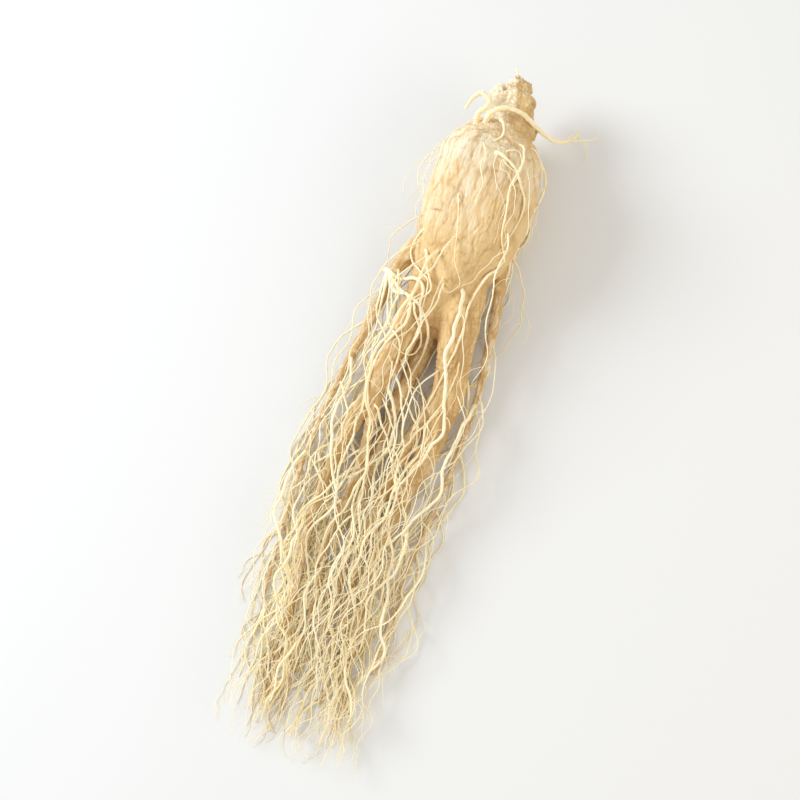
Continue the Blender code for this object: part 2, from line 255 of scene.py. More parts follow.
# Rootlets that show on the front, as they lie: radii at the base and the tip, then headward
# from the crown and left, in millimetres.
STRANDS: tuple[Strand, ...] = (
    (0.75, 0.35, ((-60, 20), (-62, 15), (-62.4, 7), (-65, 4), (-70, 3.4), (-78, 1), (-92, 3))),
    (0.72, 0.30, ((-60, 19.6), (-65.6, 13), (-68.8, 7.7), (-71, 3), (-80, -3), (-97, -1))),
    (0.55, 0.25, ((-60, 19), (-68, 17.8), (-75, 17), (-81, 16.3), (-92, 18), (-118, 24))),
    (0.60, 0.25, ((-61, 18), (-67, 16), (-72, 15), (-77, 13), (-81, 10), (-87, 5), (-104, 5))),
    (0.70, 0.25, ((-61, 18), (-67, 14), (-68, 10), (-71, 7), (-78, 6), (-82, 8), (-92, 12),
                  (-112, 11))),
    (0.45, 0.22, ((-60.6, 19), (-71, 18.6), (-77, 17.2), (-85, 11), (-92, 12), (-108, 18))),
    (0.40, 0.20, ((-44, 9.5), (-48, 12.5), (-52.4, 13), (-56.6, 10.6), (-60, 6.6), (-63, 3),
                  (-76, 2))),
    (0.42, 0.20, ((-52, 7.5), (-58.4, 5.0), (-63.7, 1.6), (-67, 2.5), (-71, 6), (-79, 8))),
    (0.50, 0.22, ((-68, 6), (-74, 4.2), (-78.7, 0), (-83, -1), (-86.8, 0.5), (-88, 4), (-86, 8))),
    (0.20, 0.13, ((-30, 3.5), (-38, 0.6), (-44, -1), (-53.5, -3.5), (-59.6, -7.7), (-62.5, -6.6),
                  (-64, -4.7), (-63, -2.7), (-58, -1.4))),
    (0.50, 0.25, ((-42, -20.4), (-49.5, -18.5), (-54, -16), (-64, -13.3), (-78, -14),
                  (-91, -12.5), (-112, -9))),
    (0.62, 0.20, ((-12.6, -4.6), (-13, -7.4), (-15.4, -12), (-19.4, -16), (-25, -19.5),
                  (-33, -20), (-46, -17))),
    (0.26, 0.13, ((-10, 1), (-14.6, -1.3), (-17.4, -1.1), (-20, -1.4), (-26, -4), (-33, -3.4))),
    (0.50, 0.25, ((0.5, -2.2), (-4.2, -4.6), (-7.0, -4.3), (-9.0, -2.2))),
    (0.26, 0.14, ((-11, -7.6), (-9.2, -11.2), (-10.4, -13.2), (-15, -15), (-22, -14))),
    (0.28, 0.14, ((-17, -14), (-16, -10), (-14.7, -7.8), (-17.9, -8), (-18.4, -11), (-21, -13))),
)


class Trait(Enum):
    """The numbers that a skin keeps on its points, for its material to read."""

    # Painted shade in the skin's creases and hollows, which the material also makes rougher.
    CREASE = "crease"
    SCAR = "scar"
    # The skin's own tan, with painted shade added in places.
    TAN = "tan"


def unit(vectors: Array) -> Array:
    """The vectors, each divided by its length."""
    return vectors / np.linalg.norm(vectors, axis=-1, keepdims=True)


def smooth_step(value: Array, low: float, high: float) -> Array:
    """0 below low, 1 above high, and an S-curve between them."""
    share = np.clip((value - low) / (high - low), 0, 1)
    return share * share * (3 - 2 * share)


def angles(count: int) -> Array:
    """Evenly spaced angles, once round from 0."""
    return np.arange(count) * TURN / count


def walked_along(route: Array) -> Array:
    """The distance from a route's start to each of its points."""
    return np.r_[0, np.cumsum(np.linalg.norm(np.diff(route[:, :3], axis=0), axis=1))]


def read_at(place: Array, walked: Array, table: Array) -> Array:
    """The table's rows at these places, mixed from those at the walked distances beside them."""
    return np.stack([np.interp(place, walked, column) for column in table.T], axis=1)


def hashed(cells: Array, size: int) -> Array:
    """Mixes the three whole numbers of a cell into one: each times a prime, then exclusive or.

    Args:
        cells: cells as rows of whole numbers.
        size: how many different results there may be.

    Returns:
        A number below size for each row, the same for the same cell.
    """
    x, y, z = (cells * HASH_PRIMES).T
    key = x ^ y ^ z
    return (key ^ key >> 11) % size


@dataclass(frozen=True)
class Waves:
    """Smooth random values, about -1 to 1, of points with three coordinates."""

    seed: int
    size: int = 4096
    gain: float = 1.7

    def __call__(self, where: Array) -> Array:
        """Mixes slopes: a random slope stands at each corner of the point's cell.

        Each slope is read at the point, and the eight are mixed by S-curves of its place in the
        cell.

        Args:
            where: points as rows, in cells.

        Returns:
            One value for each row.
        """
        slopes = unit(np.random.default_rng(self.seed).normal(size=(self.size, 3)))
        cell = np.floor(where).astype(np.int64)
        offset = where - cell
        share = offset**3 * (offset * (6 * offset - 15) + 10)
        total = np.zeros(len(where))
        for corner in np.ndindex(2, 2, 2):
            slope = slopes[hashed(cell + corner, self.size)]
            weight = np.abs(np.subtract(1, corner) - share).prod(axis=1)
            total += weight * (slope * (offset - corner)).sum(axis=1)
        return self.gain * total

    def lines(self, where: Array, power: float) -> Array:
        """1 along wandering lines where the value is zero, falling off by a power."""
        return np.clip(1 - np.abs(self(where)), 0, 1) ** power


@dataclass(frozen=True)
class Welts:
    """Puffed cells, one round each of a scatter of random seeds."""

    seed: int
    size: int = 4096
    width: float = 0.5

    def __call__(self, where: Array) -> Array:
        """How far in from its cell's border a point is: 0 on the border, 1 well inside.

        The measure is the distance to the second nearest seed less that to the nearest, made
        round by a parabola.

        Args:
            where: points as rows, in cells.

        Returns:
            One value for each row.
        """
        seeds = np.random.default_rng(self.seed).random((self.size, 3))
        cell = np.floor(where).astype(np.int64)
        first, second = np.full((2, len(where)), np.inf)
        for step in np.ndindex(3, 3, 3):
            near = cell + np.subtract(step, 1)
            away = np.linalg.norm(near + seeds[hashed(near, self.size)] - where, axis=1)
            second = np.minimum(second, np.maximum(first, away))
            first = np.minimum(first, away)
        return 1 - (1 - np.clip((second - first) / self.width, 0, 1)) ** 2


@dataclass
class Surface:
    """Points in millimetres with the quads and triangles between them."""

    points: Array
    quads: Array
    triangles: Array

    @staticmethod
    def joined(surfaces: Sequence[Surface]) -> Surface:
        """Puts surfaces side by side in one, unmerged.

        Args:
            surfaces: the surfaces.

        Returns:
            One surface that holds all of them.
        """
        shift = np.cumsum([0] + [len(s.points) for s in surfaces[:-1]])
        return Surface(
            np.concatenate([s.points for s in surfaces]),
            np.concatenate([s.quads + n for s, n in zip(surfaces, shift)]),
            np.concatenate([s.triangles + n for s, n in zip(surfaces, shift)]),
        )

    def mesh(self, name: str) -> bpy.types.Mesh:
        """Puts the points, in metres, and the faces into a mesh.

        Args:
            name: the mesh's name.

        Returns:
            A smooth-shaded mesh.
        """
        made = bpy.data.meshes.new(name)
        corners = np.concatenate((self.quads.ravel(), self.triangles.ravel()))
        totals = np.r_[np.full(len(self.quads), 4), np.full(len(self.triangles), 3)]
        made.vertices.add(len(self.points))
        made.vertices.foreach_set("co", (self.points * MM).ravel())
        made.loops.add(len(corners))
        made.loops.foreach_set("vertex_index", corners)
        made.polygons.add(len(totals))
        made.polygons.foreach_set("loop_start", np.r_[0, np.cumsum(totals)[:-1]])
        made.update(calc_edges=True)
        made.shade_smooth()
        return made


def smooth_route(rows: Array, count: int, fine_steps: int = 40) -> Array:
    """A Catmull-Rom curve through the rows, read at evenly spaced points.

    Between two rows it is a cubic in the share of the way, whose slope at each row is half the
    step from the row before it to the row after it.

    Args:
        rows: x, y, z and radius of each station.
        count: how many points to read.
        fine_steps: how many steps the cubic takes for each row before it is read.

    Returns:
        The points as rows of x, y, z and radius.
    """
    padded = np.vstack((2 * rows[0] - rows[1], rows, 2 * rows[-1] - rows[-2]))
    place = np.linspace(0, len(rows) - 1 - NO_GAP, fine_steps * len(rows))
    index, share = place.astype(int), (place % 1)[:, None]
    before, start, end, after = (padded[index + i] for i in range(4))
    fine = 0.5 * (
        2 * start
        + (end - before) * share
        + (2 * before - 5 * start + 4 * end - after) * share**2
        + (3 * start - before - 3 * end + after) * share**3
    )
    walked = walked_along(fine)
    return read_at(np.linspace(0, walked[-1], count), walked, fine)


def across(route: Array) -> tuple[Array, Array, Array]:
    """Three unit vectors at each point: the tangent, a level one and one that points up.

    The level one is the cross product of the tangent and Z.

    Args:
        route: points as rows, never straight up.

    Returns:
        The tangent, left and up vectors, as rows.
    """
    tangent = unit(np.gradient(route[:, :3], axis=0))
    left = unit(np.cross(tangent, (0.0, 0.0, 1.0)))
    return tangent, left, np.cross(left, tangent)


@dataclass(frozen=True)
class RootPlan:
    """Where the root's members run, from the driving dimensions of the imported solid."""

    body_length: float = 60.0
    body_radius: float = 18.6
    tail_reach: float = 238.0
    crown_x: float = 102.64
    crown_y: float = 0.94
    samples: int = 96

    def placed(self, stations: Iterable[Sequence[float]]) -> Array:
        """Turns stations into places: each share times the body's length or radius.

        Args:
            stations: share tailward, left, height and radius; what follows them is left out.

        Returns:
            Rows of x, y, z and radius.
        """
        along, left, height, radius = np.array([row[:4] for row in stations], float).T
        x = self.crown_x - along * self.body_length
        y = self.crown_y + left * self.body_radius
        return np.stack((x, y, height * self.body_radius, radius * self.body_radius), axis=1)

    def routes(self) -> dict[str, Array]:
        """Every member's route, in the order in which the solid's rootlets count them."""
        stations = {"taproot": TAPROOT, "neck": NECK, **LEGS}
        return {name: smooth_route(self.placed(rows), self.samples) for name, rows in stations.items()}

    def legs(self) -> list[Array]:
        """The routes of the legs and side roots."""
        return [smooth_route(self.placed(rows), self.samples) for rows in LEGS.values()]

    def crown_routes(self, count: int) -> list[Array]:
        """The routes of the crown's roots."""
        crown = np.array((self.crown_x, self.crown_y, 0.0, 0.0))
        return [smooth_route(np.array(rows) + crown, count) for rows in CROWN_ROOTS]

    def tailward(self, points: Array) -> Array:
        """How far tailward of the crown the points are, as shares of the body's length."""
        return (self.crown_x - points[:, 0]) / self.body_length

    def way_left(self, points: Array) -> Array:
        """How far the points are from the tail's end, along X."""
        return points[:, 0] - (self.crown_x - self.tail_reach)


def carried_frames(paths: Array) -> tuple[Array, Array]:
    """Two unit vectors across each path, carried along it so that they don't twist.

    At each step the last side vector loses its part along the tangent, and is made unit again.

    Args:
        paths: path, step, coordinate.

    Returns:
        The side and up vectors, of the same shape.
    """
    tangent = unit(np.gradient(paths, axis=1))
    side = np.cross(tangent[:, 0], ODD_WAY)
    sides = np.empty_like(paths)
    for step in range(paths.shape[1]):
        here = tangent[:, step]
        side = unit(side - (side * here).sum(axis=1, keepdims=True) * here)
        sides[:, step] = side
    return sides, np.cross(tangent, sides)


def spokes(side: Array, up: Array, count: int) -> Array:
    """Cos a times side plus sin a times up, for angles once round: path, step, angle, coordinate."""
    angle = angles(count)[:, None]
    return np.cos(angle) * side[:, :, None] + np.sin(angle) * up[:, :, None]


def fans(rim: Array, onward: Array, poles: Array) -> Array:
    """Triangles from each point of a rim and the next to the rim's pole, as rows."""
    return np.stack((rim, onward, np.broadcast_to(poles[:, None], rim.shape)), -1).reshape(-1, 3)


def tubes(
    paths: Array, radii: Array, side_count: int, frames: tuple[Array, Array] | None = None
) -> Surface:
    """Closed tubes: each ring is its path's point plus radius times (cos a, sin a) across it.

    Args:
        paths: path, step, coordinate.
        radii: path, step, side; or path, step, 1 for round tubes.
        side_count: how many sides each tube has.
        frames: the two vectors across each path; they are carried along it by default.

    Returns:
        The rings of all the tubes, then a pole at each end, as one surface.
    """
    number, steps, _ = paths.shape
    side, up = carried_frames(paths) if frames is None else frames
    rings = paths[:, :, None] + radii[..., None] * spokes(side, up, side_count)
    index = np.arange(number * steps * side_count).reshape(number, steps, side_count)
    onward = np.roll(index, -1, axis=2)
    quads = np.stack((index[:, :-1], onward[:, :-1], onward[:, 1:], index[:, 1:]), axis=-1)
    poles = index.size + np.arange(2 * number)
    start_fan = fans(onward[:, 0], index[:, 0], poles[:number])
    end_fan = fans(index[:, -1], onward[:, -1], poles[number:])
    points = np.concatenate((rings.reshape(-1, 3), paths[:, 0], paths[:, -1]))
    return Surface(points, quads.reshape(-1, 4), np.concatenate((start_fan, end_fan)))


def ball(
    centre: Array, radius: float, stretch: float, rings: int = 16, pole_angle: float = 0.02
) -> Surface:
    """An ellipsoid of revolution about X, as a tube whose radius follows a half circle.

    Args:
        centre: its middle.
        radius: half its width.
        stretch: how many times longer than wide it is.
        rings: how many rings it has, and half its sides.
        pole_angle: how near the first and the last ring are to the poles.

    Returns:
        A closed surface.
    """
    lift = np.linspace(pole_angle, math.pi - pole_angle, rings)
    path = centre + np.stack((-np.cos(lift) * radius * stretch, 0 * lift, 0 * lift), axis=1)
    return tubes(path[None], (np.sin(lift) * radius)[None, :, None], 2 * rings)


def fused(surfaces: Sequence[Surface], voxel: float) -> bpy.types.Mesh:
    """The union of closed surfaces as one even skin of quads, by a voxel remesh.

    Args:
        surfaces: closed surfaces that overlap.
        voxel: the skin's spacing in millimetres.

    Returns:
        A mesh of its own, in metres.
    """
    rough = Surface.joined(surfaces).mesh("rough")
    holder = bpy.data.objects.new("rough", rough)
    bpy.context.scene.collection.objects.link(holder)
    remesh = holder.modifiers.new("fuse", "REMESH")
    remesh.mode = "VOXEL"
    remesh.voxel_size = voxel * MM
    graph = bpy.context.evaluated_depsgraph_get()
    made = bpy.data.meshes.new_from_object(holder.evaluated_get(graph))
    bpy.data.objects.remove(holder)
    bpy.data.meshes.remove(rough)
    made.shade_smooth()
    return made


def read_rows(items: bpy.types.bpy_prop_collection, name: str) -> Array:
    """Reads one vector of each item of a mesh's list.

    Args:
        items: the list, such as a mesh's vertices.
        name: the vector's name.

    Returns:
        The vectors as rows.
    """
    flat = np.empty(len(items) * 3)
    items.foreach_get(name, flat)
    return flat.reshape(-1, 3)


def points_of(mesh: bpy.types.Mesh) -> Array:
    """The mesh's points in millimetres, as rows."""
    return read_rows(mesh.vertices, "co") / MM


def normals_of(mesh: bpy.types.Mesh) -> Array:
    """The unit normals at the mesh's points, as rows."""
    return read_rows(mesh.vertex_normals, "vector")


def set_points(mesh: bpy.types.Mesh, points: Array) -> None:
    """Moves the mesh's points to these, in millimetres."""
    mesh.vertices.foreach_set("co", (points * MM).ravel())
    mesh.update()


def keep_trait(mesh: bpy.types.Mesh, trait: Trait, values: Array) -> None:
    """Stores one number for each point of the mesh."""
    layer = mesh.attributes.new(trait.value, "FLOAT", "POINT")
    layer.data.foreach_set("value", np.clip(values, 0, 1).astype(np.float32))


def softened(mesh: bpy.types.Mesh, points: Array, pull: Array | float, rounds: int) -> Array:
    """Points drawn towards the mean of their neighbours.

    Args:
        mesh: gives the edges.
        points: where the mesh's points are.
        pull: how far each point goes each round, as a share of the way.
        rounds: how many times.

    Returns:
        The new points.
    """
    ends = np.empty(len(mesh.edges) * 2, np.int32)
    mesh.edges.foreach_get("vertices", ends)
    one, other = ends.reshape(-1, 2).T
    count = len(points)
    degree = np.bincount(ends, minlength=count)
    pull = np.broadcast_to(pull, count)[:, None]
    for _ in range(rounds):
        total = [
            np.bincount(one, column[other], count) + np.bincount(other, column[one], count)
            for column in points.T
        ]
        points = points + pull * ((total / degree).T - points)
    return points


@dataclass
class SkinPlace:
    """Where points lie on the skin of the member that is nearest to them.

    Attributes:
        member: the member's number.
        walked: distance along it.
        turn: angle round it.
        radius: its radius there.
        gap: how far outside its plain round skin the point is.
    """

    member: Array
    walked: Array
    turn: Array
    radius: Array
    gap: Array

    def cells(self, along: float, around: float) -> Array:
        """Coordinates for noise: distance along, and the two coordinates across.

        So a pattern closes on itself round the member. Each member gets its own part of the
        noise.

        Args:
            along: how long a cell is along the member.
            around: how wide it is round the member.

        Returns:
            Three coordinates a row, in cells.
        """
        shift = self.member * MEMBER_SHIFT
        x = self.walked / along + shift
        y = self.radius * np.cos(self.turn) / around + shift
        return np.stack((x, y, self.radius * np.sin(self.turn) / around), axis=1)

    def tan_patches(self) -> Array:
        """Patches of tanner skin, 0 to 1."""
        return smooth_step(Waves(31)(self.cells(14.0, 7.0)), 0.1, 0.7)


@dataclass
class MemberMap:
    """Finds the nearest members of points, and their places on them."""

    routes: Sequence[Array]

    def on_member(self, number: int, points: Array) -> SkinPlace:
        """Places of the points on one member.

        The nearest sample of the route gives a first place, and the tangent there the rest.

        Args:
            number: the member's number.
            points: points as rows.

        Returns:
            A place for each row.
        """
        route = self.routes[number]
        tangent, left, up = across(route)
        walked = walked_along(route)
        square = (points**2).sum(axis=1)[:, None] + (route[:, :3] ** 2).sum(axis=1)
        apart = np.sqrt(np.maximum(square - 2 * points @ route[:, :3].T, 0))
        nearest = (apart - route[:, 3]).argmin(axis=1)
        ahead = ((points - route[nearest, :3]) * tangent[nearest]).sum(axis=1)
        place = np.clip(walked[nearest] + ahead, 0, walked[-1])
        centre, side, rise = (read_at(place, walked, t) for t in (route[:, :3], left, up))
        radius = np.interp(place, walked, route[:, 3])
        arm = points - centre
        turn = np.arctan2((arm * rise).sum(axis=1), (arm * side).sum(axis=1))
        gap = np.linalg.norm(arm, axis=1) - radius
        return SkinPlace(np.full(len(points), number), place, turn, radius, gap)

    def nearest_two(self, points: Array) -> tuple[SkinPlace, SkinPlace]:
        """Sorts each point's members by how far outside each of them the point is.

        Args:
            points: points as rows.

        Returns:
            The places of the points on their nearest and second nearest members.
        """
        found = [self.on_member(number, points) for number in range(len(self.routes))]
        first, second = np.argsort([place.gap for place in found], axis=0)[:2]
        row = np.arange(len(points))
        tables = [np.stack([getattr(place, part.name) for place in found]) for part in fields(SkinPlace)]
        return (
            SkinPlace(*(table[first, row] for table in tables)),
            SkinPlace(*(table[second, row] for table in tables)),
        )


@dataclass(frozen=True)
class DriedSkin:
    """The wrinkles of dried skin, in millimetres.

    Puffy welts, far longer than wide, lie side by side with thin creases between them. Long
    creases cut deeper among them, swells run under them, and rings cross them in places.

    Attributes:
        seed: the first noise's seed; the others follow it.
        swell, welt, ripple, crease, ring: how far each kind stands out or cuts in.
        warp_cell, swell_cell, patch_cell: how long and how wide their cells are.
        welt_cell, ripple_cell, crease_cell, ring_cell: the same, then how far the warp bends them.
        crease_power, ring_power: how narrow the creases and rings are.
        shoulder: from where to where along the taproot the rings of its shoulder fade.
        patches: from which to which noise the patches of rings grow.
        leg_patches: how much more of the legs has rings.
        crease_shade_tones: how much painted shade the borders of welts and ripples, creases and rings
            get.
        full_size, size_power, least_size: from which radius wrinkles are full, and how they shrink.
        leg_gain: how many times stronger the legs' wrinkles are.
        body_crease_shade, leg_crease_shade: how much painted shade creases get on the taproot and on the
            legs.
    """

    seed: int = 11
    swell: float = 0.45
    welt: float = 0.20
    ripple: float = 0.16
    crease: float = 0.25
    ring: float = 0.20
    warp_cell: Span = (8.0, 5.0)
    swell_cell: Span = (19.0, 8.0)
    patch_cell: Span = (9.0, 9.0)
    welt_cell: Wave = (8.5, 1.9, 1.0)
    ripple_cell: Wave = (4.6, 1.15, 0.7)
    crease_cell: Wave = (21.0, 6.0, 2.6)
    ring_cell: Wave = (1.7, 13.0, 0.5)
    crease_power: float = 9.0
    ring_power: float = 4.0
    shoulder: Span = (5.0, 17.0)
    patches: Span = (0.1, 0.55)
    leg_patches: float = 0.3
    crease_shade_tones: tuple[float, float, float, float] = (0.32, 0.2, 0.5, 0.3)
    full_size: float = 11.0
    size_power: float = 0.3
    least_size: float = 0.4
    leg_gain: float = 2.0
    body_crease_shade: float = 0.8
    leg_crease_shade: float = 1.7

    def relief(self, place: SkinPlace) -> tuple[Array, Array]:
        """The sum of the kinds of wrinkle, each its own noise of the place's cells.

        Args:
            place: places on the nearest members.

        Returns:
            How far the skin stands out at each place, and how much painted shade its hollows get.
        """
        warp = Waves(self.seed)(place.cells(*self.warp_cell))

        def bent(along: float, around: float, bend: float) -> Array:
            """Cells that the warp pushes sideways.

            Args:
                along, around: the cells' length and width.
                bend: how far they are pushed, in millimetres.

            Returns:
                Three coordinates a row, in cells.
            """
            cells = place.cells(along, around)
            cells[:, 1:] += (bend / around * warp)[:, None]
            return cells

        swell = Waves(self.seed + 1)(place.cells(*self.swell_cell))
        welts = Welts(self.seed + 2)(bent(*self.welt_cell))
        ripples = Welts(self.seed + 3)(bent(*self.ripple_cell))
        creases = Waves(self.seed + 4).lines(bent(*self.crease_cell), self.crease_power)
        rings = Waves(self.seed + 5).lines(bent(*self.ring_cell), self.ring_power)
        patches = Waves(self.seed + 6)(place.cells(*self.patch_cell))
        on_taproot = place.member == 0
        shoulder = (1 - smooth_step(place.walked, *self.shoulder)) * on_taproot
        patches = smooth_step(patches + self.leg_patches * ~on_taproot, *self.patches)
        rings = rings * np.maximum(patches, shoulder)
        size = np.clip((place.radius / self.full_size) ** self.size_power, self.least_size, 1)
        height = size * np.where(on_taproot, 1.0, self.leg_gain) * (
            self.swell * swell
            + self.welt * (welts - 1)
            + self.ripple * (ripples - 1)
            - self.crease * creases
            - self.ring * rings
        )
        # Painted shade: the hollows between welts and ripples, the creases and the rings are darkened by
        # their depth.
        kinds = ((1 - welts) ** 2, 1 - ripples, creases, rings)
        depth = sum(tone * kind for tone, kind in zip(self.crease_shade_tones, kinds))
        return height, depth * np.where(on_taproot, self.body_crease_shade, self.leg_crease_shade)


@dataclass(frozen=True)
class Marks:
    """Small marks on the skin: cross-wise corky slits, and nubs where a rootlet broke off.

    Attributes:
        seed: the seed of their places and sizes.
        slits, nubs: how many there are.
        reach: from where to where on a member they lie, as shares of its length.
        sizes: their least and greatest size.
        near: how far along a member a mark can be felt.
        full_size, least_size: the radius from which marks are full, and how small they get.
        slit_depth, slit_size: a slit's depth, and its half length along and round the member.
        nub_height, nub_size: a nub's height and radius.
    """

    seed: int = 5
    slits: int = 60
    nubs: int = 34
    reach: Span = (0.02, 0.7)
    sizes: Span = (0.5, 1.2)
    near: float = 6.0
    full_size: float = 9.0
    least_size: float = 0.3
    slit_depth: float = 0.24
    slit_size: Span = (0.26, 1.7)
    nub_height: float = 0.50
    nub_size: float = 0.95

    def slit(self, along: Array, around: Array, scale: Array) -> tuple[Array, Array]:
        """A slit: a bell of distance, far wider round than along, with a lip.

        Args:
            along, around: how far the points are from its middle, in millimetres.
            scale: how big the slit is there.

        Returns:
            Its rise and its brown.
        """
        length, width = self.slit_size
        away = (along / (length * scale)) ** 2 + (around / (width * scale)) ** 2
        core, lip = np.exp(-away), np.exp(-away / 4)
        return self.slit_depth * scale * (0.7 * lip - 1.7 * core), 0.9 * core + 0.15 * lip

    def nub(self, along: Array, around: Array, scale: Array) -> tuple[Array, Array]:
        """A nub: a round bell with a narrower one taken out of its middle.

        Args:
            along, around: how far the points are from its middle, in millimetres.
            scale: how big the nub is there.

        Returns:
            Its rise and its brown.
        """
        away = (along**2 + around**2) / (self.nub_size * scale) ** 2
        lump, pit = np.exp(-away), np.exp(-away * 5)
        return self.nub_height * scale * (lump - 0.8 * pit), 0.35 * lump + 0.6 * pit

    def relief(self, place: SkinPlace, lengths: Sequence[float]) -> tuple[Array, Array]:
        """The sum of all the marks, each at its own place on its own member.

        Args:
            place: places on the nearest members.
            lengths: each member's length.

        Returns:
            How far the marks lift the skin at each place, and how brown they make it.
        """
        rng = np.random.default_rng(self.seed)
        share = np.array(lengths) ** 0.8
        total = self.slits + self.nubs
        member = rng.choice(len(lengths), total, p=share / share.sum())
        walked = rng.uniform(*self.reach, total) * np.array(lengths)[member]
        turn = rng.uniform(-math.pi, math.pi, total)
        size = rng.uniform(*self.sizes, total)
        height, brown = np.zeros((2, len(place.walked)))
        for number in range(total):
            near = np.abs(place.walked - walked[number]) < self.near
            spot = np.flatnonzero((place.member == member[number]) & near)
            radius = place.radius[spot]
            swing = (place.turn[spot] - turn[number] + math.pi) % TURN - math.pi
            scale = size[number] * np.clip(radius / self.full_size, self.least_size, 1)
            shape = self.slit if number < self.slits else self.nub
            rise, stain = shape(place.walked[spot] - walked[number], swing * radius, scale)
            height[spot] += rise
            brown[spot] += stain
        return height, brown


@dataclass(frozen=True)
class Flutes:
    """Broad flutes down the taproot and shallow rings round its shoulder, as on the solid.

    Each flute is depth, how many round the root, phase, and twist over the body's length.
    """

    waves: tuple[tuple[float, int, float, float], ...] = (
        (0.030, 2, 0.6, 1.3),
        (0.024, 3, -1.1, 2.7),
        (0.018, 6, 0.4, 4.0),
    )
    ring_depth: float = 0.018
    ring_spacing: float = 0.17
    ring_place: float = 0.15
    ring_reach: float = 0.16

    def relief(self, along: Array, turn: Array) -> Array:
        """The skin's rise: a sine of the angle for each flute, and rings that fade both ways.

        Args:
            along: how far tailward of the crown, as a share of the body's length.
            turn: angle round the root.

        Returns:
            The rise as a share of the radius.
        """
        reach = np.exp(-(((along - self.ring_place) / self.ring_reach) ** 2))
        relief = self.ring_depth * np.cos(TURN * along / self.ring_spacing) * reach
        for depth, count, phase, twist in self.waves:
            relief = relief + depth * np.sin(count * turn + phase + twist * along)
        return relief


